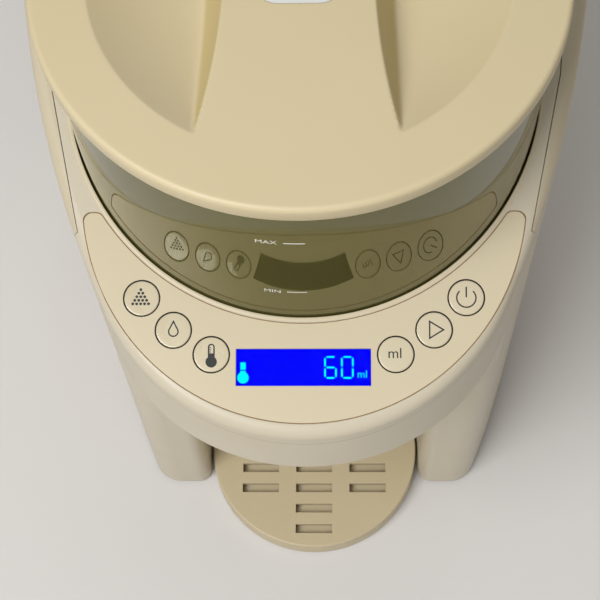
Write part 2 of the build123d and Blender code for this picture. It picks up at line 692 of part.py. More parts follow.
def control_board():
    """Crescent circuit board under the buttons."""
    outer = Pos(0, NOSE_Y) * Circle(BOARD_OUT_R)
    inner = Pos(0, AXIS_Y) * Circle(WELL_R + WELL_WALL + BOARD_GAP)
    behind = Pos(0, SEAM_FRONT_Y - BOARD_BEHIND) * Rectangle(REACH, REACH, align=(Align.CENTER, Align.MIN))
    board = deck_layer(outer - inner - behind, BOARD_DROP, BOARD_DROP + BOARD_T)
    for x, y in POSTS:
        board -= on_deck(x, y) * Cylinder(SCREW_R + PRESS_GAP, REACH, align=CENTRE)
    return board


def tact_switches():
    """One switch under each button."""
    switch = Box(SWITCH_W, SWITCH_W, SWITCH_H, align=UP)
    return group(on_deck(x, y, BOARD_DROP) * switch for x, y in BUTTONS)


def board_screws():
    """Screws that hold the control board to its posts, from below."""
    return group(screw(BOARD_DROP - DECK_T, on_deck(x, y, BOARD_DROP + BOARD_T)) for x, y in POSTS)


def button(x, y):
    """Round key cap, flush with the panel, with a flange that keeps it under the deck."""
    cap = on_deck(x, y) * Cylinder(BUTTON_R, DECK_T + SEAT_GAP + BUTTON_FLANGE_T, align=DOWN)
    flange = on_deck(x, y, DECK_T + SEAT_GAP) * Cylinder(BUTTON_FLANGE_R, BUTTON_FLANGE_T, align=DOWN)
    return cap + flange


# ---------------------------------------------------------------- drive
def drive_gear():
    """Large gear under the well."""
    gear = slab(gear_plan(GEAR_TEETH), GEAR_Z, GEAR_Z + GEAR_T)
    return Pos(0, AXIS_Y) * (gear - cylinder(AXLE_R + RUN_GAP, 0, REACH))


def drive_dog():
    """Square dog on the gear, which turns the dosing rotor."""
    dog = Pos(0, 0, GEAR_Z + GEAR_T) * Box(DOG_W, DOG_W, DOG_H, align=UP)
    return Pos(0, AXIS_Y) * (dog - cylinder(AXLE_R + RUN_GAP, 0, REACH))


def gear_axle():
    """Pin that the gear turns on, with its flange under the chassis plate."""
    pin = cylinder(AXLE_R, HEAD_BOTTOM_Z, GEAR_Z + GEAR_T + DOG_H - AXLE_R, 0, AXIS_Y)
    return pin + cylinder(AXLE_FLANGE_R, HEAD_BOTTOM_Z - AXLE_FLANGE_T, HEAD_BOTTOM_Z, 0, AXIS_Y)


def motor_pinion():
    """Pinion in mesh with the large gear."""
    half_tooth = 180 / PINION_TEETH
    pinion = slab(gear_plan(PINION_TEETH, half_tooth), GEAR_Z, GEAR_Z + GEAR_T)
    return Pos(0, MOTOR_Y) * (pinion - cylinder(MOTOR_SHAFT_R + PRESS_GAP, 0, REACH))


def motor_shaft():
    """Shaft from the motor up through the pinion."""
    return cylinder(MOTOR_SHAFT_R, HEAD_BOTTOM_Z - MOTOR_H / 2, GEAR_Z + GEAR_T, 0, MOTOR_Y)


def drive_motor():
    """Motor hung under the chassis plate."""
    motor = cylinder(MOTOR_R, HEAD_BOTTOM_Z - MOTOR_H, HEAD_BOTTOM_Z, 0, MOTOR_Y)
    motor -= cylinder(MOTOR_SHAFT_R + RUN_GAP, HEAD_BOTTOM_Z - MOTOR_H / 2, HEAD_BOTTOM_Z + CUT, 0, MOTOR_Y)
    for side in (-1, 1):
        motor -= cylinder(SCREW_R + PRESS_GAP, HEAD_BOTTOM_Z - MOTOR_H / 3, REACH, side * MOTOR_SCREW_X, MOTOR_Y)
    return motor


def motor_screws():
    """Two screws from above through the chassis plate into the motor."""
    length = CHASSIS_T + MOTOR_H / 4
    over = Plane(origin=(0, 0, 0), x_dir=(1, 0, 0), z_dir=(0, 0, -1))
    return group(
        screw(length, Pos(side * MOTOR_SCREW_X, MOTOR_Y, CHASSIS_TOP) * over.location) for side in (-1, 1)
    )


# ---------------------------------------------------------------- powder container
def powder_container():
    """Tinted wall of the container."""
    return tube(CONTAINER_R, CONTAINER_IN_R, CONTAINER_Z, CONTAINER_TOP_Z, 0, AXIS_Y)


def container_floor():
    """Fixed floor under the dosing wheel, with the outlet and the hub's bearing."""
    floor = cylinder(CONTAINER_IN_R - PRESS_GAP, CONTAINER_Z, CONTAINER_Z + CONTAINER_FLOOR_T, 0, AXIS_Y)
    floor -= cylinder(HUB_R + RUN_GAP, 0, REACH, 0, AXIS_Y)
    return floor - cylinder(OUTLET_R, 0, REACH, 0, OUTLET_POINT_Y)


def powder_scraper():
    """Plate over the outlet, held by the container's wall."""
    reach = CONTAINER_IN_R - PRESS_GAP
    ring = tube(reach, OUTLET_DROP - SCRAPER_MARGIN, SCRAPER_Z, SCRAPER_Z + SCRAPER_T, 0, AXIS_Y)
    half_w = reach * sin(radians(SCRAPER_HALF_ANGLE))
    return ring & block(-half_w, half_w, AXIS_Y - CONTAINER_R, AXIS_Y, 0, LID_TOP_Z)


def rotor_hub():
    """Hub with the square socket for the drive dog."""
    hub = cylinder(HUB_R, WELL_FLOOR_Z, ARM_Z + ARM_H, 0, AXIS_Y)
    socket = DOG_W + 2 * DOG_GAP
    depth = GEAR_Z + GEAR_T + DOG_H + DOG_GAP - WELL_FLOOR_Z
    return hub - Pos(0, AXIS_Y, WELL_FLOOR_Z) * Box(socket, socket, depth, align=UP)


def dosing_wheel():
    """Wheel whose pockets carry measured powder to the outlet."""
    wheel = cylinder(CONTAINER_IN_R - WHEEL_GAP, WHEEL_Z, WHEEL_Z + WHEEL_T)
    wheel -= cylinder(HUB_R + PRESS_GAP, 0, REACH)
    for index in range(POCKETS):
        angle = 2 * pi * index / POCKETS
        wheel -= cylinder(POCKET_R, 0, REACH, OUTLET_DROP * cos(angle), OUTLET_DROP * sin(angle))
    return Pos(0, AXIS_Y) * wheel


def agitator():
    """Stirring arms above the wheel, each with a paddle at its end."""
    arms = cylinder(ARM_COLLAR_R, ARM_Z, ARM_Z + ARM_H)
    reach = CONTAINER_IN_R - ARM_GAP
    for index in range(ARMS):
        arm = block(0, reach, -ARM_W / 2, ARM_W / 2, ARM_Z, ARM_Z + ARM_H)
        paddle = block(reach - 2 * ARM_W, reach, -ARM_W / 2, ARM_W / 2, ARM_Z, ARM_Z + ARM_H + PADDLE_H)
        arms += Rot(0, 0, 90 + 360 * index / ARMS) * (arm + paddle)
    return Pos(0, AXIS_Y) * (arms - cylinder(HUB_R + PRESS_GAP, 0, REACH))


def recess_plan(grow=0.0):
    """Right-hand finger recess of the lid, from above: between the grip bar and a round edge."""
    side = Pos(GRIP_HALF_W + GRIP_SIDE_R, 0) * Circle(GRIP_SIDE_R + grow)
    return side & Circle(LID_R - RECESS_INSET + grow)


def recess(grow=0.0):
    """Space of one finger recess, deepest beside the grip bar."""
    far_x = LID_R - RECESS_INSET + grow
    wedge = Polyline(
        (GRIP_HALF_W - grow, 0, LID_TOP_Z + CUT),
        (far_x, 0, LID_TOP_Z + CUT),
        (far_x, 0, LID_TOP_Z - grow),
        (GRIP_HALF_W - grow, 0, LID_TOP_Z - RECESS_DEPTH - grow),
        close=True,
    )
    prism = extrude(make_face(wedge), amount=LID_R, dir=(0, 1, 0), both=True)
    return prism & slab(recess_plan(grow), LID_TOP_Z - RECESS_DEPTH - 2 * grow - CUT, LID_TOP_Z + CUT)


def container_lid():
    """Twist lid with an outer rim and two finger recesses."""
    lid = cylinder(LID_R, LID_EDGE_Z, LID_TOP_Z)
    lid = fillet(lid.edges().filter_by(GeomType.CIRCLE).sort_by(Axis.Z)[-1], LID_TOP_R)
    lid -= cylinder(LID_R - WALL, LID_EDGE_Z - CUT, LID_CEILING_Z)
    lid += mirrored(recess(WALL) & cylinder(LID_SKIRT_R - WALL - SEAT_GAP, 0, LID_CEILING_Z + CUT))
    lid -= mirrored(recess())
    lid -= slab(badge_plan(PRESS_GAP), LID_TOP_Z - BADGE_T, LID_TOP_Z + CUT)
    return Pos(0, AXIS_Y) * lid


def lid_liner():
    """Inner skirt, joined under the lid's top, that carries the gasket."""
    return tube(LID_SKIRT_R, LID_SKIRT_R - WALL, LID_EDGE_Z - LID_SKIRT_DROP, LID_CEILING_Z, 0, AXIS_Y)


def badge_plan(grow=0.0):
    """Rounded square badge in the middle of the lid."""
    return RectangleRounded(BADGE_W + 2 * grow, BADGE_W + 2 * grow, BADGE_R)


def lid_badge():
    """Plain badge let into the lid."""
    return Pos(0, AXIS_Y) * slab(badge_plan(), LID_TOP_Z - BADGE_T, LID_TOP_Z)


def lid_gasket():
    """Sealing ring round the lid's inner skirt."""
    return tube(GASKET_OUT_R, GASKET_OUT_R - GASKET_W, GASKET_Z, GASKET_Z + GASKET_H, 0, AXIS_Y)


# ---------------------------------------------------------------- funnel
def funnel_flange_plan():
    """Flange of the funnel from above: round back, straight sides, rounded front corners."""
    half = FUNNEL_FLANGE_R
    square = Rectangle(2 * half, half, align=(Align.CENTER, Align.MAX))
    plan = round_corners(Circle(half) + square, [(-half, -half), (half, -half)], FUNNEL_CORNER_R)
    return Pos(0, TRAY_Y) * plan


def mixing_funnel():
    """Funnel that slides out on the rails, with its spout over the bottle."""
    cone_top, cone_low = FLANGE_Z, FUNNEL_Z + FUNNEL_SPOUT_H
    height = cone_top - cone_low
    outer = Pos(0, TRAY_Y, cone_low) * Cone(FUNNEL_SPOUT_R, FUNNEL_MOUTH_R, height, align=UP)
    inner = Pos(0, TRAY_Y, cone_low) * Cone(
        FUNNEL_SPOUT_R - FUNNEL_WALL, FUNNEL_MOUTH_R - FUNNEL_WALL, height, align=UP
    )
    body = outer + slab(funnel_flange_plan(), FLANGE_Z, COVER_Z)
    body += cylinder(FUNNEL_SPOUT_R, FUNNEL_Z, cone_low, 0, TRAY_Y)
    body -= inner
    body -= cylinder(FUNNEL_SPOUT_R - FUNNEL_WALL, FUNNEL_Z - CUT, cone_low + CUT, 0, TRAY_Y)
    return body - cylinder(FUNNEL_MOUTH_R - FUNNEL_WALL, FLANGE_Z, COVER_Z + CUT, 0, TRAY_Y)


def funnel_cover():
    """Cover on the funnel with the holes for powder and water."""
    cover = slab(funnel_flange_plan(), COVER_Z, COVER_Z + FUNNEL_COVER_T)
    cover -= cylinder(OUTLET_R + CHUTE_WALL, 0, REACH, 0, OUTLET_POINT_Y)
    return cover - cylinder(NOZZLE_R, 0, REACH, 0, NOZZLE_Y)


def water_nozzle():
    """Nozzle pushed into the chassis plate, with a flange above it."""
    nozzle = cylinder(NOZZLE_R, HEAD_BOTTOM_Z, HOSE_Z + HOSE_R, 0, NOZZLE_Y)
    nozzle += cylinder(NOZZLE_FLANGE_R, CHASSIS_TOP, CHASSIS_TOP + NOZZLE_FLANGE_T, 0, NOZZLE_Y)
    nozzle += block(0, NOZZLE_PORT_X, NOZZLE_Y - NOZZLE_R, NOZZLE_Y + NOZZLE_R, CHASSIS_TOP, HOSE_Z + HOSE_R)
    return nozzle - cylinder(NOZZLE_BORE_R, 0, HOSE_Z, 0, NOZZLE_Y)


# ---------------------------------------------------------------- tray
def drip_tray():
    """Round tray whose skirt stands over the tongue, open at the back so that it slides out."""
    floor_z = BASE_TOP + SEAT_GAP
    tray = cylinder(TRAY_R, TRAY_UNDER, TRAY_RIM_Z)
    tray -= cylinder(TRAY_R - TRAY_WALL, floor_z + TRAY_FLOOR_T, TRAY_RIM_Z + CUT)
    tray -= cylinder(TRAY_R - TRAY_WALL, 0, floor_z)
    way = TONGUE_R + SEAT_GAP
    tray -= block(-way, way, 0, TRAY_R + CUT, 0, floor_z)
    return Pos(0, TRAY_Y) * tray


def tray_cover():
    """Slotted cover that the bottle stands on."""
    cover = cylinder(TRAY_R, TRAY_RIM_Z + SEAT_GAP, TRAY_RIM_Z + COVER_T)
    cover = fillet(cover.edges().filter_by(GeomType.CIRCLE).sort_by(Axis.Z)[-1], COVER_LIP)
    columns = [(0, CENTRE_SLOTS), (-SLOT_COLUMN_X, SIDE_SLOTS), (SLOT_COLUMN_X, SIDE_SLOTS)]
    for x, count in columns:
        for index in range(count):
            y = SLOT_PITCH * (index - (count - 1) / 2)
            cover -= block(x - SLOT_W / 2, x + SLOT_W / 2, y - SLOT_H / 2, y + SLOT_H / 2, 0, 2 * TRAY_H)
    return Pos(0, TRAY_Y) * cover


# ---------------------------------------------------------------- water tank
def water_tank():
    """Tinted tank, open at the top."""
    tank = slab(round_tank_front(tank_plan()), TANK_Z, TANK_TOP_Z)
    tank -= slab(tank_plan(TANK_WALL), TANK_Z + TANK_WALL, TANK_TOP_Z + CUT)
    return tank - cylinder(SPIGOT_R + PRESS_GAP, 0, TANK_Z + 2 * TANK_WALL, 0, OUTLET_Y)


def round_tank_front(plan):
    """Tank outline with its two front corners rounded a little."""
    corners = [(-BODY_HALF_W, TANK_FRONT_Y), (BODY_HALF_W, TANK_FRONT_Y)]
    return round_corners(plan, corners, TANK_FRONT_R)


def tank_outlet():
    """Spigot in the tank's floor, with the seat of the valve."""
    outlet = cylinder(SPIGOT_R, SPIGOT_END_Z, TANK_Z + TANK_WALL, 0, OUTLET_Y)
    outlet -= cylinder(SPIGOT_R - SPIGOT_WALL, 0, TANK_Z, 0, OUTLET_Y)
    return outlet - cylinder(SEAT_BORE_R, 0, REACH, 0, OUTLET_Y)


def valve_cage():
    """Slotted cage over the outlet, which also holds the spring."""
    low, high = TANK_Z + TANK_WALL, TANK_Z + TANK_WALL + CAGE_H
    cage = cylinder(CAGE_R, low, high) - cylinder(CAGE_R - CAGE_WALL, low - CUT, high - CAGE_WALL)
    for index in range(CAGE_RIBS):
        slot = block(0, 2 * CAGE_R, -CAGE_WALL, CAGE_WALL, low + 2 * CAGE_WALL, high - 2 * CAGE_WALL)
        cage -= Rot(0, 0, 360 * index / CAGE_RIBS) * slot
    return Pos(0, OUTLET_Y) * cage


def valve_poppet():
    """Valve held open by the pin in the dock."""
    disc = cylinder(POPPET_R, POPPET_Z, POPPET_Z + POPPET_T, 0, OUTLET_Y)
    return disc + cylinder(POPPET_STEM_R, SPIGOT_END_Z, POPPET_Z, 0, OUTLET_Y)


def valve_spring():
    """Coil between the poppet and the top of the cage."""
    low = POPPET_Z + POPPET_T + SPRING_WIRE_R + SEAT_GAP
    high = TANK_Z + TANK_WALL + CAGE_H - CAGE_WALL - SPRING_WIRE_R - SEAT_GAP
    pitch = (high - low) / SPRING_TURNS
    coil = Helix(pitch, high - low, SPRING_R)
    wire = Plane(origin=coil @ 0, z_dir=coil % 0) * Circle(SPRING_WIRE_R)
    return Pos(0, OUTLET_Y, low) * sweep(wire, path=coil, is_frenet=True)


def tank_dock():
    """Socket for the tank's spigot, with the pin that opens the valve."""
    dock = cylinder(DOCK_R, DOCK_Z, SHELF_TOP) + side_port(0, CUT - DOCK_R, -90)
    dock -= Pos(0, 0, PORT_Z) * Rot(90, 0, 0) * Cylinder(HOSE_BORE_R, DOCK_R + PORT_LEN, align=UP)
    dock -= cylinder(DOCK_BORE_R, DOCK_Z + WALL, REACH)
    dock += cylinder(POPPET_STEM_R, DOCK_Z, SPIGOT_END_Z - SEAT_GAP)
    return Pos(0, OUTLET_Y) * dock


def dock_seal():
    """Rubber ring round the spigot."""
    return tube(DOCK_BORE_R - PRESS_GAP, SPIGOT_R + SEAT_GAP, SHELF_TOP - SEAL_H, SHELF_TOP, 0, OUTLET_Y)


def tank_lid():
    """Lid of the water tank with a skirt inside the wall."""
    plate = slab(round_tank_front(tank_plan()), TANK_TOP_Z + SEAT_GAP, TANK_TOP_Z + SEAT_GAP + TANK_LID_T)
    plate = fillet(plate.faces().sort_by(Axis.Z)[-1].edges(), TANK_LID_R)
    outer = TANK_WALL + TANK_SKIRT_GAP
    skirt = tank_plan(outer) - tank_plan(outer + TANK_SKIRT_T)
    return plate + slab(skirt, TANK_TOP_Z - TANK_SKIRT_H, TANK_TOP_Z + 2 * SEAT_GAP)


# ---------------------------------------------------------------- water path and power
def side_port(x, y, direction):
    """Hose stub pointing along a horizontal direction, in degrees from +X."""
    return Pos(x, y, PORT_Z) * Rot(0, 0, direction) * Rot(0, 90, 0) * Cylinder(PORT_R, PORT_LEN, align=UP)


def water_pump():
    """Pump standing on the base plate, with its two ports."""
    pump = cylinder(PUMP_R, BASE_TOP, BASE_TOP + PUMP_H, PUMP_X, PUMP_Y)
    pump += side_port(PUMP_X, PUMP_Y + PUMP_R - CUT, 90) + side_port(PUMP_X + PUMP_R - CUT, PUMP_Y, 0)
    return pump


def water_heater():
    """Heater standing on the base plate."""
    top = BASE_TOP + HEATER_H
    heater = cylinder(HEATER_R, BASE_TOP, top, HEATER_X, PUMP_Y)
    heater += cylinder(PORT_R, top - CUT, top - CUT + PORT_LEN, HEATER_X, PUMP_Y)
    return heater + side_port(HEATER_X - HEATER_R + CUT, PUMP_Y, 180)


def suction_hose():
    """From the tank's dock to the pump."""
    start_y = OUTLET_Y + CUT - DOCK_R - PORT_LEN
    end_y = PUMP_Y + PUMP_R - CUT + PORT_LEN
    turn_y = (start_y + end_y) / 2
    return hose([(0, start_y, PORT_Z), (0, turn_y, PORT_Z), (PUMP_X, turn_y, PORT_Z), (PUMP_X, end_y, PORT_Z)])


def heater_hose():
    """From the pump to the heater."""
    start = (PUMP_X + PUMP_R - CUT + PORT_LEN, PUMP_Y, PORT_Z)
    end = (HEATER_X - HEATER_R + CUT - PORT_LEN, PUMP_Y, PORT_Z)
    return hose([start, end])


def nozzle_hose():
    """From the heater up through the chassis plate and forward to the nozzle."""
    top = BASE_TOP + HEATER_H + PORT_LEN - CUT
    side_y = (NOZZLE_Y + OUTLET_POINT_Y) / 2 + 2 * HOSE_BEND_R
    return hose([
        (HEATER_X, PUMP_Y, top),
        (HEATER_X, PUMP_Y, HOSE_Z),
        (HEATER_X, side_y, HOSE_Z),
        (HEATER_X / 2, NOZZLE_Y, HOSE_Z),
        (NOZZLE_PORT_X, NOZZLE_Y, HOSE_Z),
    ])


def power_board():
    """Power supply board on its posts, with a transformer and capacitors."""
    low = BASE_TOP + POWER_POST_H
    top = low + BOARD_T
    half_w, half_d = POWER_BOARD_W / 2, POWER_BOARD_D / 2
    board = block(-half_w, half_w, -half_d, half_d, low, top)
    board += block(-half_w / 2, 0, -half_d / 2, half_d / 2, top - CUT, top + half_d)
    for side in (-1, 1):
        board += cylinder(POST_R * 2, top - CUT, top + half_d, half_w / 2, side * half_d / 3)
    return Pos(0, POWER_BOARD_Y) * board


def power_inlet():
    """Two-pin power socket in the back of the shelf."""
    middle_z = (BASE_TOP + SHELF_TOP) / 2
    behind = (Align.CENTER, Align.MAX, Align.CENTER)
    body = Pos(INLET_X, REAR_Y, middle_z) * Box(INLET_W, INLET_D, INLET_H, align=behind)
    mouth = extrude(SlotOverall(INLET_SOCKET_W, INLET_SOCKET_H), INLET_SOCKET_D)
    body -= Pos(INLET_X, REAR_Y, middle_z) * Rot(90, 0, 0) * mouth
    for side in (-1, 1):
        pin = Cylinder(INLET_PIN_R, INLET_SOCKET_D - 2 * INLET_PIN_R, align=DOWN)
        place = Pos(INLET_X + side * INLET_PIN_PITCH / 2, REAR_Y - INLET_SOCKET_D, middle_z)
        body += place * Rot(90, 0, 0) * pin
    return body


def base_screws():
    """Screws from below through the base plate into the housing's bosses."""
    return group(screw(BASE_T + BOSS_H - 2 * WALL, Pos(x, y, FOOT_H)) for x, y in BOSSES)


def rubber_feet():
    """Four feet under the base plate."""
    front_x = (BAY_R + flank_x(TRAY_Y)) / 2
    rear_x, rear_y = BODY_HALF_W - TANK_CORNER_R / 2, REAR_Y - TANK_CORNER_R / 2
    places = [(front_x, TRAY_Y), (rear_x, rear_y - FOOT_R / 2)]
    return group(cylinder(FOOT_R, 0, FOOT_H, side * x, y) for x, y in places for side in (-1, 1))


# ---------------------------------------------------------------- build and write
MAKERS = [
    base_plate, tank_shelf, rear_housing, front_column, chassis_plate, head_cover, panel_overlay,
    display_window, display_module, control_board, tact_switches, board_screws, container_well,
    powder_chute, gear_axle, drive_gear, drive_dog, motor_pinion, motor_shaft, drive_motor, motor_screws,
    powder_container, container_floor, powder_scraper, rotor_hub, dosing_wheel, agitator, container_lid,
    lid_liner, lid_badge, lid_gasket, mixing_funnel, funnel_cover, water_nozzle, drip_tray, tray_cover,
    water_tank, tank_outlet, valve_cage, valve_poppet, valve_spring, tank_dock, dock_seal, tank_lid,
    water_pump, water_heater, suction_hose, heater_hose, nozzle_hose, power_board, power_inlet,
    base_screws, rubber_feet,
]
BUTTON_NAMES = ["powder", "water", "temperature", "unit", "start", "power"]

os.makedirs("parts", exist_ok=True)
for maker in MAKERS:
    export_step(maker(), f"parts/{maker.__name__}.step")
for name, (button_x, button_y) in zip(BUTTON_NAMES, BUTTONS):
    export_step(button(button_x, button_y), f"parts/{name}_button.step")
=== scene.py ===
"""Baby formula maker: finishes, finer pieces, light and camera round the CAD frame.

Sizes are in millimetres in the CAD's own frame, and a mesh is scaled to metres as it is made.
"""

import logging
from dataclasses import dataclass, field
from enum import Enum
from math import atan2, cos, hypot, pi, radians, sin, sqrt, tan

import bmesh
import bpy
from mathutils import Matrix, Vector


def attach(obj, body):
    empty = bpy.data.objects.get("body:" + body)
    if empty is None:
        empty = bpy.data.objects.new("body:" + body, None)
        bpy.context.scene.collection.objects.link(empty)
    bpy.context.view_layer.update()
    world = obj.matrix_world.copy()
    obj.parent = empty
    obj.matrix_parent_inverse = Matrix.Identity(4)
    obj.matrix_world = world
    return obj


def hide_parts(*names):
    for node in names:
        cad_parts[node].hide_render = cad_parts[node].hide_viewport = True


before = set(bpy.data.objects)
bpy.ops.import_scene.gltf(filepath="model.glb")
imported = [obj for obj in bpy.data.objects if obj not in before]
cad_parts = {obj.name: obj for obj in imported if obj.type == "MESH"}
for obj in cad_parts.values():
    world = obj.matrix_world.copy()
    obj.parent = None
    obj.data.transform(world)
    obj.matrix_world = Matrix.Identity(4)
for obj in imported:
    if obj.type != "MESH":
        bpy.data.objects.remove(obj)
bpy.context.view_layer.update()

LOG = logging.getLogger("formula_maker")
MM = 0.001
AXIS_Y = -15.0  # place of the upright axis that the lid, the container and the well share
FILM_T = 0.8    # thickness of the panel's film and of the display's window
PRINT_T = 0.03  # thickness of printed marks
WELD = 1e-7     # points of a mesh nearer than this become one, in metres
SRGB_KNEE, SRGB_SLOPE, SRGB_SHIFT, SRGB_POWER = 0.04045, 12.92, 0.055, 2.4
Colour = tuple[float, float, float, float]
Point = tuple[float, float, float]
Flat = tuple[float, float]
Pair = tuple[float, float]


class Body(str, Enum):
    """Moving bodies of the CAD frame."""

    MACHINE = "machine"
    CONTAINER = "container"
    LID = "lid"
    TANK = "tank"
    TANK_TOP = "tank_top"


class Slot(str, Enum):
    """Material slots of the record that the finer pieces take."""

    BODY = "body_plastic"
    PANEL = "panel_plastic"
    BADGE = "badge_grey"
    BLACK = "display_black"
    RUBBER = "foot_rubber"


class Icon(Enum):
    """Marks of the six keys, left to right."""

    POWDER = "powder"
    WATER = "water"
    TEMPERATURE = "temperature"
    UNIT = "unit"
    START = "start"
    POWER = "power"


def linear(value: int) -> float:
    """Scene-linear value of a display value from 0 to 255."""
    part = value / 255
    return part / SRGB_SLOPE if part <= SRGB_KNEE else ((part + SRGB_SHIFT) / (1 + SRGB_SHIFT)) ** SRGB_POWER


def tone(red: int, green: int, blue: int) -> Colour:
    """Scene-linear colour, with full alpha, of a display colour from 0 to 255."""
    return linear(red), linear(green), linear(blue), 1.0


def scaled(colour: Colour, gain: float, lift: float = 0.0) -> Colour:
    """Colour with its parts scaled and lifted, up to 1."""
    return tuple(min(1.0, gain * part + lift) for part in colour[:3]) + (1.0,)


def arc(x: float, y: float, radius: float, start: float, end: float, steps: int) -> list[Flat]:
    """Points along a circular arc.

    Args:
        x: Centre's first coordinate.
        y: Centre's second coordinate.
        radius: Radius of the arc.
        start: First angle, in degrees.
        end: Last angle, in degrees.
        steps: Number of chords.

    Returns:
        The points, both ends included.
    """
    angles = [radians(start + (end - start) * i / steps) for i in range(steps + 1)]
    return [(x + radius * cos(a), y + radius * sin(a)) for a in angles]


def degrees_of(rise: float, run: float) -> float:
    """Angle of a slope, in degrees."""
    return atan2(rise, run) * 180 / pi


def quarter(steps: int) -> list[float]:
    """Angles from 0 to 90 degrees in even steps, in radians."""
    return [radians(90 * i / steps) for i in range(steps + 1)]


def rectangle(left: float, low: float, right: float, high: float) -> list[Flat]:
    """Corners of an upright rectangle, anticlockwise."""
    return [(left, low), (right, low), (right, high), (left, high)]


# ---------------------------------------------------------------- node trees
class Graph:
    """Node tree under construction."""

    def __init__(self, tree: bpy.types.NodeTree) -> None:
        """Wraps an empty tree."""
        self.tree = tree

    def node(self, kind: str, inputs: dict | None = None, **settings: object) -> bpy.types.Node:
        """Adds a node.

        Args:
            kind: Type name without its ShaderNode prefix.
            inputs: Values or sockets by input name or number.
            settings: Properties of the node.

        Returns:
            The new node.
        """
        made = self.tree.nodes.new(f"ShaderNode{kind}")
        for key, value in settings.items():
            setattr(made, key, value)
        for key, value in (inputs or {}).items():
            self.feed(made.inputs[key], value)
        return made

    def feed(self, socket: bpy.types.NodeSocket, value: object) -> None:
        """Links or sets an input.

        Args:
            socket: The input.
            value: A socket to link it to, or its value.
        """
        if isinstance(value, bpy.types.NodeSocket):
            self.tree.links.new(value, socket)
        else:
            socket.default_value = value

    def effect(self, group: bpy.types.NodeTree, **inputs: object) -> bpy.types.Node:
        """Places a shared group, with underscores for spaces in its input names."""
        return self.node("Group", {k.replace("_", " "): v for k, v in inputs.items()}, node_tree=group)

    def math(self, operation: str, first: object, second: object = 0.0, clamp: bool = False) -> object:
        """Result socket of one sum."""
        return self.node("Math", {0: first, 1: second}, operation=operation, use_clamp=clamp).outputs[0]

    def blend(self, factor: object, first: object, second: object) -> object:
        """Colour socket between two colours."""
        return self.node("Mix", {0: factor, 6: first, 7: second}, data_type="RGBA").outputs[2]

    def span(self, value: object, ends: Pair, low: object, high: object) -> object:
        """Value taken from one range to another, clamped."""
        inputs = {"Value": value, "From Min": ends[0], "From Max": ends[1], "To Min": low, "To Max": high}
        return self.node("MapRange", inputs).outputs[0]

    def place(self) -> object:
        """The piece's own coordinates."""
        return self.node("TexCoord").outputs["Object"]

    def parts(self, vector: object) -> list[object]:
        """Sockets of a vector's three parts."""
        return list(self.node("SeparateXYZ", {0: vector}).outputs)


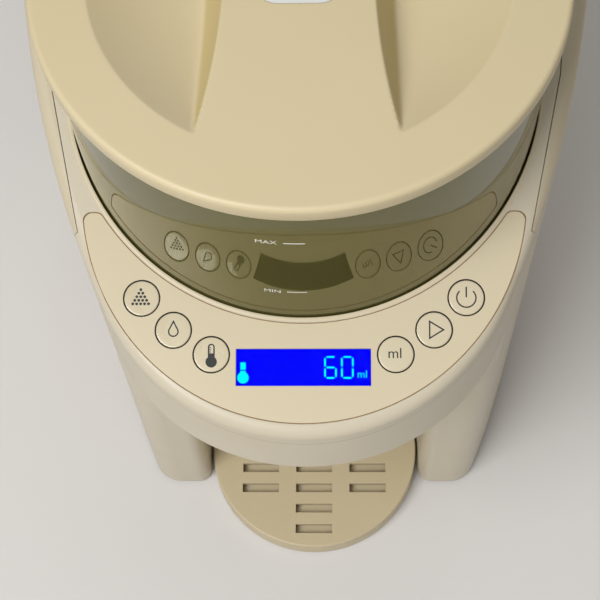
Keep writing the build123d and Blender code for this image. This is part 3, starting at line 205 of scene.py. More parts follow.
class Effects:
    """Node groups that several finishes share, each made once."""

    CLOUDS: Pair = (0.35, 0.7)   # range of a noise that becomes 0 to 1, as the next three
    SMEARS: Pair = (0.35, 0.65)
    PATCHES: Pair = (0.4, 0.62)
    LINES: Pair = (0.3, 0.7)
    CORNERS: Pair = (1.0, 0.85)  # range of the cosine between the rounded and the flat normal
    PATCH_LEAST: float = 0.3
    SPECK_SHARE: float = 0.2

    def __init__(self) -> None:
        """Makes every group."""
        self.grain = self._grain()
        self.drift = self._drift()
        self.handling = self._handling()
        self.soft_edge = self._soft_edge()
        self.rubbed = self._rubbed()
        self.brushing = self._brushing()

    @staticmethod
    def _open(name: str, inputs: dict[str, object], outputs: dict[str, str]) -> tuple[Graph, object, object]:
        """Starts a group.

        Args:
            name: Name of the group.
            inputs: Default values by socket name; a tuple stands for a colour.
            outputs: Socket kinds by socket name.

        Returns:
            The graph, the sockets of its input node and those of its output node.
        """
        tree = bpy.data.node_groups.new(name, "ShaderNodeTree")
        for key, value in inputs.items():
            kind = "NodeSocketColor" if isinstance(value, tuple) else "NodeSocketFloat"
            tree.interface.new_socket(name=key, in_out="INPUT", socket_type=kind).default_value = value
        for key, kind in outputs.items():
            tree.interface.new_socket(name=key, in_out="OUTPUT", socket_type=f"NodeSocket{kind}")
        into, out = tree.nodes.new("NodeGroupInput"), tree.nodes.new("NodeGroupOutput")
        return Graph(tree), into.outputs, out.inputs

    def _grain(self) -> bpy.types.NodeTree:
        """Height of the fine texture left by a mould or a skin.

        Returns:
            The group.
        """
        g, into, out = self._open("fine_grain", {"Scale": 900.0, "Pits": 0.4}, {"Height": "Float"})
        place = g.place()
        waves = g.node("TexNoise", {"Vector": place, "Scale": into["Scale"], "Detail": 3.0}).outputs[0]
        cells = g.node("TexVoronoi", {"Vector": place, "Scale": into["Scale"]}).outputs["Distance"]
        g.feed(out["Height"], g.math("ADD", waves, g.math("MULTIPLY", cells, into["Pits"])))
        return g.tree

    def _drift(self) -> bpy.types.NodeTree:
        """Slow change of colour over a piece.

        Returns:
            The group.
        """
        inputs = {"Color": (0.8, 0.8, 0.8, 1.0), "Shade": (0.7, 0.7, 0.7, 1.0), "Scale": 14.0, "Amount": 0.3}
        g, into, out = self._open("colour_drift", inputs, {"Color": "Color"})
        source = {"Vector": g.place(), "Scale": into["Scale"], "Detail": 4.0, "Roughness": 0.55}
        cloud = g.node("TexNoise", source).outputs[0]
        share = g.math("MULTIPLY", g.span(cloud, self.CLOUDS, 0.0, 1.0), into["Amount"])
        g.feed(out["Color"], g.blend(share, into["Color"], into["Shade"]))
        return g.tree

    def _handling(self) -> bpy.types.NodeTree:
        """Roughness with the faint marks of handling and wiping.

        Returns:
            The group.
        """
        inputs = {"Roughness": 0.4, "Spread": 0.06, "Scale": 40.0}
        g, into, out = self._open("handling_marks", inputs, {"Roughness": "Float"})
        place = g.place()
        source = {"Vector": place, "Scale": into["Scale"], "Detail": 5.0, "Distortion": 0.6}
        smears = g.math("MULTIPLY", g.node("TexNoise", source).outputs[0], 1 - self.SPECK_SHARE)
        fine = g.node("TexNoise", {"Vector": place, "Scale": 700.0, "Detail": 2.0}).outputs[0]
        mixed = g.math("ADD", smears, g.math("MULTIPLY", fine, self.SPECK_SHARE))
        low = g.math("SUBTRACT", into["Roughness"], into["Spread"])
        high = g.math("ADD", into["Roughness"], into["Spread"])
        g.feed(out["Roughness"], g.span(mixed, self.SMEARS, low, high))
        return g.tree

    def _soft_edge(self) -> bpy.types.NodeTree:
        """Normal with corners rounded off, and a mask of those corners.

        Returns:
            The group.
        """
        outputs = {"Normal": "Vector", "Edge": "Float"}
        g, into, out = self._open("soft_edge", {"Radius": 0.0005}, outputs)
        rounded = g.node("Bevel", {"Radius": into["Radius"]}, samples=4).outputs[0]
        flat = g.node("NewGeometry").outputs["Normal"]
        along = g.node("VectorMath", {0: rounded, 1: flat}, operation="DOT_PRODUCT").outputs["Value"]
        g.feed(out["Normal"], rounded)
        g.feed(out["Edge"], g.span(along, self.CORNERS, 0.0, 1.0))
        return g.tree

    def _rubbed(self) -> bpy.types.NodeTree:
        """Colour with lighter, worn corners.

        Returns:
            The group.
        """
        inputs = {"Color": (0.8, 0.8, 0.8, 1.0), "Worn": (0.9, 0.9, 0.9, 1.0), "Edge": 0.0, "Amount": 0.3}
        g, into, out = self._open("rubbed_edges", inputs, {"Color": "Color"})
        patches = g.node("TexNoise", {"Vector": g.place(), "Scale": 180.0, "Detail": 3.0}).outputs[0]
        worn = g.math("MULTIPLY", into["Edge"], g.span(patches, self.PATCHES, self.PATCH_LEAST, 1.0))
        share = g.math("MULTIPLY", worn, into["Amount"], clamp=True)
        g.feed(out["Color"], g.blend(share, into["Color"], into["Worn"]))
        return g.tree

    def _brushing(self) -> bpy.types.NodeTree:
        """Fine parallel scratches of a drawn or turned metal.

        Returns:
            The group.
        """
        inputs = {"Scale": 500.0, "Stretch": 0.04}
        g, into, out = self._open("brushing", inputs, {"Height": "Float", "Shade": "Float"})
        parts = g.parts(g.place())
        low = g.math("MULTIPLY", parts[2], into["Stretch"])
        lane = g.node("CombineXYZ", {0: parts[0], 1: parts[1], 2: low}).outputs[0]
        lines = g.node("TexNoise", {"Vector": lane, "Scale": into["Scale"], "Detail": 6.0}).outputs[0]
        g.feed(out["Height"], lines)
        g.feed(out["Shade"], g.span(lines, self.LINES, 0.0, 1.0))
        return g.tree


class Surface:
    """Material under construction, with its one Principled shader."""

    def __init__(self, name: str) -> None:
        """Makes a material with a bare shader.

        Args:
            name: Name of the material.
        """
        self.material = bpy.data.materials.new(name)
        self.material.use_nodes = True
        self.material.node_tree.nodes.clear()
        self.graph = Graph(self.material.node_tree)
        self.shader = self.graph.node("BsdfPrincipled")
        self.graph.node("OutputMaterial", {"Surface": self.shader.outputs[0]})

    def drive(self, **inputs: object) -> None:
        """Sets or links inputs of the shader, with underscores for spaces."""
        for key, value in inputs.items():
            self.graph.feed(self.shader.inputs[key.replace("_", " ")], value)

    def relief(self, height: object, depth: float, base: object | None = None) -> None:
        """Raises the surface by a height pattern.

        Args:
            height: Socket with the pattern, about 0 to 1.
            depth: Depth of the pattern, in millimetres.
            base: Normal that the pattern lies on, or None for the mesh's own.
        """
        inputs = {"Height": height, "Distance": depth * MM, "Strength": 1.0}
        if base is not None:
            inputs["Normal"] = base
        self.drive(Normal=self.graph.node("Bump", inputs).outputs[0])


# ---------------------------------------------------------------- finishes
@dataclass(frozen=True)
class Finish:
    """Look of a piece, which becomes one material."""

    name: str
    colour: Colour
    shade: Colour
    roughness: float = 0.42
    drift: Pair = (9.0, 0.35)  # scale and amount of the slow change from colour to shade
    smear_scale: float = 28.0

    def build(self, effects: Effects) -> bpy.types.Material:
        """Makes the material.

        Args:
            effects: Node groups that the finishes share.

        Returns:
            The material.
        """
        surface = Surface(self.name)
        self.paint(surface, surface.graph, effects)
        return surface.material

    def paint(self, surface: Surface, g: Graph, effects: Effects) -> None:
        """Drives the shader, in each kind of finish in its own way."""
        raise NotImplementedError(type(self).__name__)

    def drifted(self, g: Graph, effects: Effects) -> object:
        """Colour socket that goes slowly between the two tones."""
        inputs = dict(zip(("Scale", "Amount"), self.drift))
        return g.effect(effects.drift, Color=self.colour, Shade=self.shade, **inputs).outputs[0]

    def smeared(self, g: Graph, effects: Effects, spread: float) -> object:
        """Roughness socket with marks of handling that spread it up and down."""
        inputs = {"Roughness": self.roughness, "Spread": spread, "Scale": self.smear_scale}
        return g.effect(effects.handling, **inputs).outputs[0]


@dataclass(frozen=True)
class Moulded(Finish):
    """Opaque plastic or rubber out of a mould."""

    spread: float = 0.05
    grain: float = 0.5       # size of the grain
    depth: float = 0.002     # depth of the grain
    edge: float = 0.35       # corners are rounded off by this much
    wear: float = 0.25
    worn: Pair = (1.12, 0.02)  # gain and lift of the tone on worn corners
    coat: float = 0.0
    coat_roughness: float = 0.04
    index: float = 1.47
    parting: bool = False    # fine line under the deck's rolled edge
    parting_low: float = 8.5
    parting_fade: Pair = (0.10, 0.28)  # from its middle
    parting_dark: float = 0.62
    parting_depth: float = 20.0  # in depths of the grain
    hollow: Colour | None = None  # painted shade on the steep walls of the lid's recesses
    recess_shade_fade: float = 2.0
    recess_shade_rise: Pair = (0.55, 0.95)  # upward part of the normal

    def paint(self, surface: Surface, g: Graph, effects: Effects) -> None:
        """Grain, worn corners and handling marks over the two tones, with painted shade in the lid's recesses
        where set.

        Args:
            surface: Material under construction.
            g: Its graph.
            effects: Node groups that the finishes share.
        """
        corner = g.effect(effects.soft_edge, Radius=self.edge * MM).outputs
        colour = g.effect(
            effects.rubbed, Color=self.drifted(g, effects), Worn=scaled(self.colour, *self.worn),
            Edge=corner["Edge"], Amount=self.wear,
        ).outputs[0]
        height = g.effect(effects.grain, Scale=1 / (self.grain * MM)).outputs[0]
        if self.parting:
            line = self._parting_mask(g)
            colour = g.blend(line, colour, scaled(self.shade, self.parting_dark))
            height = g.math("SUBTRACT", height, g.math("MULTIPLY", line, self.parting_depth))
        # paints shade on the steep walls of the lid's recesses
        if self.hollow:
            colour = g.blend(self._recess_shade_mask(g), colour, self.hollow)
        surface.drive(
            Base_Color=colour, Roughness=self.smeared(g, effects, self.spread), IOR=self.index,
            Coat_Weight=self.coat, Coat_Roughness=self.coat_roughness,
        )
        surface.relief(height, self.depth, corner["Normal"])

    def _recess_shade_mask(self, g: Graph) -> object:
        """Mask of the painted shade on the steep walls inside the lid's rim.

        Args:
            g: Graph that takes the nodes.

        Returns:
            The mask's socket.
        """
        parts = g.parts(g.place())
        away = g.math("SUBTRACT", parts[1], Lid.axis_y * MM)
        squares = [g.math("MULTIPLY", part, part) for part in (parts[0], away)]
        reach = g.math("SQRT", g.math("ADD", *squares))
        rise = g.parts(g.node("NewGeometry").outputs["Normal"])[2]
        fade = (Lid.recess_r * MM, (Lid.recess_r + self.recess_shade_fade) * MM)
        return g.math("MULTIPLY", g.span(reach, fade, 1.0, 0.0), g.span(rise, self.recess_shade_rise, 1.0, 0.0))

    def _parting_mask(self, g: Graph) -> object:
        """Mask of the line that runs round the fascia below the deck's edge.

        Args:
            g: Graph that takes the nodes.

        Returns:
            The mask's socket.
        """
        slope = tan(radians(Deck.tilt))
        parts = g.parts(g.place())
        deck = g.math("ADD", g.math("MULTIPLY", parts[1], slope), (Deck.height - Deck.axis_y * slope) * MM)
        below = g.math("SUBTRACT", deck, parts[2])
        off = g.math("ABSOLUTE", g.math("SUBTRACT", below, self.parting_low * MM))
        near, far = self.parting_fade
        return g.span(off, (near * MM, far * MM), 1.0, 0.0)


@dataclass(frozen=True)
class Clear(Finish):
    """Clear or smoky plastic with faint wiping marks."""

    roughness: float = 0.03
    drift: Pair = (6.0, 0.5)
    smear_scale: float = 18.0
    spread_share: float = 0.125  # of the roughness
    transmission: float = 0.9
    index: float = 1.5
    mirror: Colour = (1.0, 1.0, 1.0, 1.0)
    alpha: float = 1.0       # share of light that a face stops
    ripple_scale: float = 60.0
    ripple_depth: float = 0.004

    def paint(self, surface: Surface, g: Graph, effects: Effects) -> None:
        """Lets light through a gently rippled skin.

        Args:
            surface: Material under construction.
            g: Its graph.
            effects: Node groups that the finishes share.
        """
        ripple = g.effect(effects.grain, Scale=self.ripple_scale, Pits=0.0).outputs[0]
        surface.drive(
            Base_Color=self.drifted(g, effects), Transmission_Weight=self.transmission, IOR=self.index,
            Roughness=self.smeared(g, effects, self.roughness * self.spread_share),
            Specular_Tint=self.mirror, Alpha=self.alpha,
        )
        surface.relief(ripple, self.ripple_depth)


@dataclass(frozen=True)
class Metal(Finish):
    """Bright metal with drawn or turned scratches."""

    roughness: float = 0.3
    drift: Pair = (30.0, 0.6)
    smear_scale: float = 60.0
    spread: float = 0.08
    stretch: float = 0.04
    line_scale: float = 700.0
    line_share: float = 0.35
    line_depth: float = 0.004
    edge: float = 0.15

    def paint(self, surface: Surface, g: Graph, effects: Effects) -> None:
        """Scratches in one direction over the two tones.

        Args:
            surface: Material under construction.
            g: Its graph.
            effects: Node groups that the finishes share.
        """
        lines = g.effect(effects.brushing, Scale=self.line_scale, Stretch=self.stretch).outputs
        corner = g.effect(effects.soft_edge, Radius=self.edge * MM).outputs["Normal"]
        share = g.math("MULTIPLY", lines["Shade"], self.line_share)
        streaked = g.blend(share, self.drifted(g, effects), self.shade)
        surface.drive(Base_Color=streaked, Roughness=self.smeared(g, effects, self.spread), Metallic=1.0)
        surface.relief(lines["Height"], self.line_depth, corner)


@dataclass(frozen=True)
class SolderMask(Finish):
    """Green lacquer of a circuit board, with tracks under it in the second tone."""

    roughness: float = 0.3
    drift: Pair = (40.0, 0.2)
    smear_scale: float = 80.0
    spread: float = 0.05
    cell_scale: float = 160.0
    track_fade: Pair = (0.05, 0.08)
    track_depth: float = 0.02

    def paint(self, surface: Surface, g: Graph, effects: Effects) -> None:
        """Raised tracks between the cells of a net.

        Args:
            surface: Material under construction.
            g: Its graph.
            effects: Node groups that the finishes share.
        """
        net = {"Vector": g.place(), "Scale": self.cell_scale}
        cells = g.node("TexVoronoi", net, feature="DISTANCE_TO_EDGE").outputs[0]
        track = g.span(cells, self.track_fade, 1.0, 0.0)
        colour = g.blend(track, self.drifted(g, effects), self.shade)
        surface.drive(Base_Color=colour, Roughness=self.smeared(g, effects, self.spread))
        surface.relief(track, self.track_depth)


@dataclass(frozen=True)
class Lit(Finish):
    """Lit part of the display, with the faint grid of its cells in the second tone."""

    roughness: float = 0.4
    pitch: float = 0.28
    grid_fade: Pair = (0.9, 1.0)
    grid_share: float = 0.25
    mirrored: float = 0.02   # strength in a mirror image

    def paint(self, surface: Surface, g: Graph, effects: Effects) -> None:
        """Light of its own, which mirrors hardly show.

        Args:
            surface: Material under construction.
            g: Its graph.
            effects: Node groups that the finishes share; not used here.
        """
        turn = 2 * pi / (self.pitch * MM)
        waves = [g.math("SINE", g.math("MULTIPLY", part, turn)) for part in g.parts(g.place())[:2]]
        grid = g.span(g.math("MAXIMUM", *waves), self.grid_fade, 0.0, self.grid_share)
        bounces = g.node("LightPath").outputs["Glossy Depth"]
        surface.drive(
            Base_Color=(0.0, 0.0, 0.0, 1.0), Emission_Color=g.blend(grid, self.colour, self.shade),
            Emission_Strength=g.span(bounces, (0.0, 1.0), 1.0, self.mirrored), Roughness=self.roughness,
            Specular_IOR_Level=0.0,
        )


@dataclass(frozen=True)
class Ground(Finish):
    """Plain pale studio floor."""

    roughness: float = 0.85
    drift: Pair = (1.3, 0.4)
    specular: float = 0.2

    def paint(self, surface: Surface, g: Graph, effects: Effects) -> None:
        """Matt, with a slow change of tone."""
        colour = self.drifted(g, effects)
        surface.drive(Base_Color=colour, Roughness=self.roughness, Specular_IOR_Level=self.specular)


BODY = Moulded("beige_body", tone(200, 191, 171), tone(193, 183, 160), parting=True)
SHELL = Moulded("beige_shell", tone(200, 191, 171), tone(193, 183, 160), roughness=0.36)
REAR = Moulded("beige_rear", tone(199, 188, 164), tone(191, 180, 153), roughness=0.36)
# tray's darker tan: partly its own tone, partly painted shade from the head above it
SHADED_TRAY = Moulded("beige_tray_shaded", tone(196, 182, 150), tone(190, 175, 142), roughness=0.4)
# hollow paints shade on the steep walls of the finger recesses
LID = Moulded(
    "beige_lid", tone(204, 190, 155), tone(198, 183, 146), roughness=0.45, hollow=tone(190, 173, 124)
)
PANEL = Moulded(
    "panel_film", tone(204, 192, 164), tone(199, 186, 156), roughness=0.36, grain=0.25, edge=0.1
)
KEY = Moulded(
    "key_cap", tone(204, 192, 164), tone(199, 186, 156), roughness=0.24, edge=0.2, wear=0.15, coat=1.0
)
BADGE = Moulded("badge_film", tone(205, 205, 203), tone(196, 197, 196), roughness=0.34, edge=0.2)
SMOKE = Clear(
    "smoky_clear", tone(141, 135, 77), tone(131, 125, 69), transmission=0.7, index=1.62,
    mirror=tone(235, 226, 140),
)
TANK_CLEAR = Clear(
    "tank_clear", tone(150, 147, 116), tone(142, 139, 108), roughness=0.05, transmission=0.0, alpha=0.22
)
WINDOW = Clear(
    "window_clear", tone(255, 255, 255), tone(250, 252, 255), roughness=0.01, transmission=1.0, index=1.08
)
FUNNEL = Moulded("white_plastic", tone(222, 219, 208), tone(214, 210, 198), roughness=0.4)
ROTOR = Moulded("rotor_plastic", tone(188, 186, 178), tone(176, 174, 166), roughness=0.45)
DARK = Moulded("dark_plastic", tone(28, 28, 30), tone(36, 36, 38), roughness=0.4, wear=0.15)
INK = Moulded("dark_ink", tone(24, 28, 27), tone(32, 35, 34), roughness=0.5, edge=0.02, wear=0.0)
# brown strip in the groove round the panel film paints the groove's shade
GROOVE_SHADE = Moulded("painted_groove_shade", tone(150, 116, 70), tone(140, 106, 62), roughness=0.6, edge=0.05, wear=0.0)
# black rings in the gaps round the keys paint the shade that falls there
GAP_SHADE = Moulded("painted_gap_shade", tone(5, 5, 5), tone(8, 8, 7), roughness=0.7, edge=0.1, wear=0.0)
WHITE_INK = Moulded(
    "white_ink", tone(226, 226, 218), tone(216, 216, 206), roughness=0.5, edge=0.02, wear=0.0
)
RUBBER = Moulded(
    "foot_rubber_skin", tone(44, 44, 45), tone(56, 55, 54), roughness=0.75, grain=0.3, depth=0.01
)
SILICONE = Moulded("silicone_skin", tone(214, 212, 206), tone(202, 200, 194), roughness=0.55, grain=0.8)
PUMP = Moulded("pump_plastic_skin", tone(60, 62, 66), tone(72, 73, 76), roughness=0.5)
STEEL = Metal("drawn_steel", tone(196, 196, 194), tone(150, 150, 150), roughness=0.28)
CAN = Metal("motor_can", tone(168, 168, 166), tone(122, 122, 122), roughness=0.38, stretch=1.0)
BOARD = SolderMask("board_lacquer", tone(20, 78, 44), tone(44, 112, 66))
SCREEN = Lit("screen_blue", (0.0, 0.0, 1.0, 1.0), (0.0, 0.0, 0.8, 1.0))
DIGITS = Lit("screen_cyan", (0.0, 1.0, 1.0, 1.0), (0.0, 0.8, 0.9, 1.0))
FLOOR = Ground("studio_floor", tone(216, 214, 212), tone(211, 209, 208))

NODE_FINISHES: dict[Finish, tuple[str, ...]] = {
    BODY: ("head_cover",),
    SHELL: ("base_plate", "tank_shelf", "front_column", "tank_lid"),
    REAR: ("rear_housing",),
    SHADED_TRAY: ("drip_tray", "tray_cover"),
    LID: ("container_lid", "lid_liner"),
    PANEL: ("panel_overlay",),
    BADGE: ("lid_badge",),
    SMOKE: ("powder_container",),
    TANK_CLEAR: ("water_tank",),
    WINDOW: ("display_window",),
    FUNNEL: (
        "container_well", "powder_chute", "mixing_funnel", "funnel_cover", "container_floor",
        "powder_scraper", "tank_outlet", "valve_cage", "chassis_plate",
    ),
    ROTOR: ("rotor_hub", "dosing_wheel", "agitator", "valve_poppet", "drive_gear", "motor_pinion"),
    DARK: ("display_module", "tact_switches", "power_inlet", "tank_dock"),
    RUBBER: ("rubber_feet",),
    SILICONE: ("lid_gasket", "dock_seal", "suction_hose", "heater_hose", "nozzle_hose"),
    PUMP: ("water_pump", "water_nozzle"),
    STEEL: (
        "gear_axle", "motor_shaft", "motor_screws", "board_screws", "base_screws", "valve_spring",
        "drive_dog", "water_heater",
    ),
    CAN: ("drive_motor",),
    BOARD: ("control_board", "power_board"),
}


class Palette:
    """Finishes made into materials, each once."""

    def __init__(self) -> None:
        """Makes the shared effects."""
        self.effects = Effects()
        self.made: dict[str, bpy.types.Material] = {}

    def of(self, finish: Finish) -> bpy.types.Material:
        """Material of a finish.

        Args:
            finish: The finish.

        Returns:
            Its material, made at the first call.
        """
        if finish.name not in self.made:
            self.made[finish.name] = finish.build(self.effects)
        return self.made[finish.name]

    def dress_frame(self) -> None:
        """Gives every CAD node its finish."""
        for finish, names in NODE_FINISHES.items():
            material = self.of(finish)
            for name in names:
                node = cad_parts[name]
                if not node.material_slots:
                    node.data.materials.append(material)
                for slot in node.material_slots:
                    slot.material = material
        LOG.info("dressed %d frame nodes", sum(len(names) for names in NODE_FINISHES.values()))


# ---------------------------------------------------------------- meshes
class Shape:
    """Points in millimetres and faces of one piece."""

    MITRE_LEAST: float = 0.3  # a line's corner is drawn out to at most its width over this

    def __init__(self, place: Matrix | None = None) -> None:
        """Starts an empty shape.

        Args:
            place: What its points are moved by, or None for nothing.
        """
        self.points: list[Vector] = []
        self.faces: list[tuple[int, ...]] = []
        self.place = place or Matrix()

    def put(self, points: list[Point]) -> list[int]:
        """Adds points.

        Args:
            points: The points, before they are moved.

        Returns:
            Their numbers.
        """
        first = len(self.points)
        self.points += [self.place @ Vector(p) for p in points]
        return list(range(first, len(self.points)))

    def rings(self, rows: list[list[Point]], closed: bool = False) -> None:
        """Joins rings of points with four-sided faces; a ring of one point is a pole.

        Args:
            rows: Rings with the same number of points each, anticlockwise seen from the last ring's side.
            closed: Joins the last ring to the first.
        """
        numbers = [self.put(row) for row in rows]
        pairs = list(zip(numbers, numbers[1:]))
        if closed:
            pairs.append((numbers[-1], numbers[0]))
        for low, high in pairs:
            count = max(len(low), len(high))
            for i in range(count):
                j = (i + 1) % count
                corners = [low[i % len(low)], low[j % len(low)], high[j % len(high)], high[i % len(high)]]
                self.faces.append(tuple(dict.fromkeys(corners)))

    def lathe(self, profile: list[Flat], turns: int, closed: bool = False) -> None:
        """Turns a profile about the upright axis.

        Args:
            profile: Points as radius and height.
            turns: Number of steps round.
            closed: Joins the last point to the first.
        """
        rows = []
        for radius, height in profile:
            if radius <= 0:
                rows.append([(0.0, 0.0, height)])
            else:
                rows.append([(*p, height) for p in arc(0, 0, radius, 0, 360, turns)[:-1]])
        self.rings(rows, closed)

    def prism(self, outline: list[Flat], low: float, high: float) -> None:
        """Raises an outline without holes.

        Args:
            outline: Its points, anticlockwise.
            low: Height of the underside.
            high: Height of the top.
        """
        base = self.put([(x, y, low) for x, y in outline])
        top = self.put([(x, y, high) for x, y in outline])
        count = len(outline)
        self.faces += [tuple(reversed(base)), tuple(top)]
        self.faces += [(base[i], base[(i + 1) % count], top[(i + 1) % count], top[i]) for i in range(count)]

    def stroke(self, line: list[Flat], width: float, low: float, high: float, closed: bool = False) -> None:
        """Raises a drawn line between two heights.

        Args:
            line: Points along the middle of the line.
            width: Width of the line.
            low: Height of its underside.
            high: Height of its top.
            closed: Joins the last point to the first.
        """
        count = len(line)
        sides: list[tuple[Flat, Flat]] = []
        for i, (x, y) in enumerate(line):
            before = line[i - 1] if closed or i else line[i]
            after = line[(i + 1) % count] if closed or i < count - 1 else line[i]
            ways = [Vector(b) - Vector(a) for a, b in ((before, (x, y)), ((x, y), after)) if a != b]
            ways = [way.normalized() for way in ways]
            along = sum(ways[1:], ways[0]).normalized()
            half = width / 2 / max(self.MITRE_LEAST, along.dot(ways[0]))
            sides.append(((x - along.y * half, y + along.x * half), (x + along.y * half, y - along.x * half)))
        rows = [[(*left, low), (*right, low), (*right, high), (*left, high)] for left, right in sides]
        first = len(self.points)
        self.rings(rows, closed)
        if not closed:
            last = len(self.points)
            self.faces += [(first + 3, first + 2, first + 1, first), (last - 4, last - 3, last - 2, last - 1)]

    def take(self, mesh: bpy.types.Mesh) -> None:
        """Adds a copy of a mesh and removes the mesh.

        Args:
            mesh: The mesh, in millimetres.
        """
        numbers = self.put([tuple(v.co) for v in mesh.vertices])
        self.faces += [tuple(numbers[i] for i in face.vertices) for face in mesh.polygons]
        bpy.data.meshes.remove(mesh)

    def bend(self, radius: float, axis_y: float) -> None:
        """Wraps points drawn on an upright plane on to a cylinder; y is the lift outwards.

        Args:
            radius: Radius of the upright cylinder.
            axis_y: Place of its axis.
        """
        for point in self.points:
            angle, reach = point.x / radius, radius - point.y
            point.x, point.y = reach * sin(angle), axis_y - reach * cos(angle)

    def make(
        self, name: str, material: bpy.types.Material, body: str, sharp: float = 32.0
    ) -> bpy.types.Object:
        """Turns the shape into a piece that rides on a body.

        Args:
            name: Name of the piece.
            material: Its material.
            body: Body that it moves with.
            sharp: Angle between faces, in degrees, from which an edge stays sharp.

        Returns:
            The piece.
        """
        mesh = bpy.data.meshes.new(name)
        mesh.from_pydata([tuple(p * MM) for p in self.points], [], self.faces)
        work = bmesh.new()
        work.from_mesh(mesh)
        bmesh.ops.remove_doubles(work, verts=work.verts, dist=WELD)
        bmesh.ops.recalc_face_normals(work, faces=work.faces)
        work.to_mesh(mesh)
        work.free()
        mesh.shade_smooth()
        mesh.set_sharp_from_angle(angle=radians(sharp))
        mesh.materials.append(material)
        piece = bpy.data.objects.new(name, mesh)
        bpy.context.scene.collection.objects.link(piece)
        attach(piece, body)
        LOG.info("made %s: %d faces on %s", name, len(mesh.polygons), body)
        return piece


def realised(curve: bpy.types.Curve, lift: float) -> bpy.types.Mesh:
    """Turns a curve into a mesh.

    Args:
        curve: The curve, which is removed.
        lift: What the mesh is raised by.

    Returns:
        The mesh.
    """
    holder = bpy.data.objects.new("holder", curve)
    bpy.context.scene.collection.objects.link(holder)
    bpy.context.view_layer.update()
    mesh = bpy.data.meshes.new_from_object(holder.evaluated_get(bpy.context.evaluated_depsgraph_get()))
    bpy.data.objects.remove(holder)
    bpy.data.curves.remove(curve)
    mesh.transform(Matrix.Translation((0, 0, lift)))
    return mesh


def lettering(text: str, height: float, smoothness: int = 6) -> bpy.types.Mesh:
    """Raised figures or letters, centred on the origin, in millimetres.

    Args:
        text: What is written.
        height: Height of the type, a little more than its capitals.
        smoothness: Chords in each curve of a letter.

    Returns:
        The mesh, from 0 to PRINT_T in height.
    """
    curve = bpy.data.curves.new("lettering", "FONT")
    curve.body = text
    curve.size = height
    curve.align_x, curve.align_y = "CENTER", "CENTER"
    curve.extrude = PRINT_T / 2
    curve.resolution_u = smoothness
    return realised(curve, PRINT_T / 2)


def rounded_plate(
    outlines: list[list[Flat]], thickness: float, rounding: float, smoothness: int = 3
) -> bpy.types.Mesh:
    """Plate with holes and rounded edges.

    Args:
        outlines: Outer outline and then its holes, in millimetres.
        thickness: Thickness of the plate.
        rounding: Radius of its edges.
        smoothness: Steps in the rounding.

    Returns:
        The mesh, from minus the thickness up to 0.
    """
    curve = bpy.data.curves.new("plate", "CURVE")
    curve.dimensions = "2D"
    curve.fill_mode = "BOTH"
    curve.bevel_depth = rounding
    curve.bevel_resolution = smoothness
    curve.offset = -rounding
    curve.extrude = thickness / 2 - rounding
    for outline in outlines:
        spline = curve.splines.new("POLY")
        spline.points.add(len(outline) - 1)
        for point, (x, y) in zip(spline.points, outline):
            point.co = (x, y, 0.0, 1.0)
        spline.use_cyclic_u = True
    return realised(curve, -thickness / 2)


# ---------------------------------------------------------------- sub-assemblies
@dataclass
class Deck:
    """Sloping deck that the panel, the keys and the well's lip lie on."""

    axis_y: float = AXIS_Y
    height: float = 262.6
    tilt: float = 15.0
    lip_in_r: float = 91.55
    lip_out_r: float = 93.0
    lip_rise: float = 0.18
    lip_root: float = 0.1     # depth of its outer foot
    lip_skirt: tuple[Flat, ...] = ((0.0, -2.2), (0.7, -2.6))  # out from the inner edge, and up
    lip_turns: int = 240
    lip_steps: int = 15
    lip_sharp: float = 60.0

    def z(self, y: float) -> float:
        """Height of the deck at a plan place."""
        return self.height + (y - self.axis_y) * tan(radians(self.tilt))

    def place(self, x: float, y: float) -> Matrix:
        """Frame on the deck over a plan place."""
        return Matrix.Translation((x, y, self.z(y))) @ Matrix.Rotation(radians(self.tilt), 4, "X")

    def flat(self, x: float, y: float) -> Flat:
        """Plan place as coordinates in the frame of the container's axis."""
        return x, (y - self.axis_y) / cos(radians(self.tilt))

    def lip(self, palette: Palette) -> None:
        """Makes the rolled lip round the well.

        Args:
            palette: Finishes made into materials.
        """
        middle = (self.lip_in_r + self.lip_out_r) / 2
        half = (self.lip_out_r - self.lip_in_r) / 2
        turns = [radians(180 * i / self.lip_steps) for i in range(self.lip_steps + 1)]
        section = [(half, -self.lip_root)]
        section += [(half * cos(t), self.lip_rise * sin(t)) for t in turns]
        section += [(out - half, lift) for out, lift in self.lip_skirt]
        rows = []
        for c, s in arc(0, 0, 1.0, 0, 360, self.lip_turns)[:-1]:
            row = []
            for out, lift in section:
                y = self.axis_y + (middle + out) * s
                row.append(((middle + out) * c, y, self.z(y) + lift))
            rows.append(row)
        shape = Shape()
        shape.rings(rows, closed=True)
        shape.make("well_lip", palette.of(PANEL), Body.MACHINE.value, sharp=self.lip_sharp)


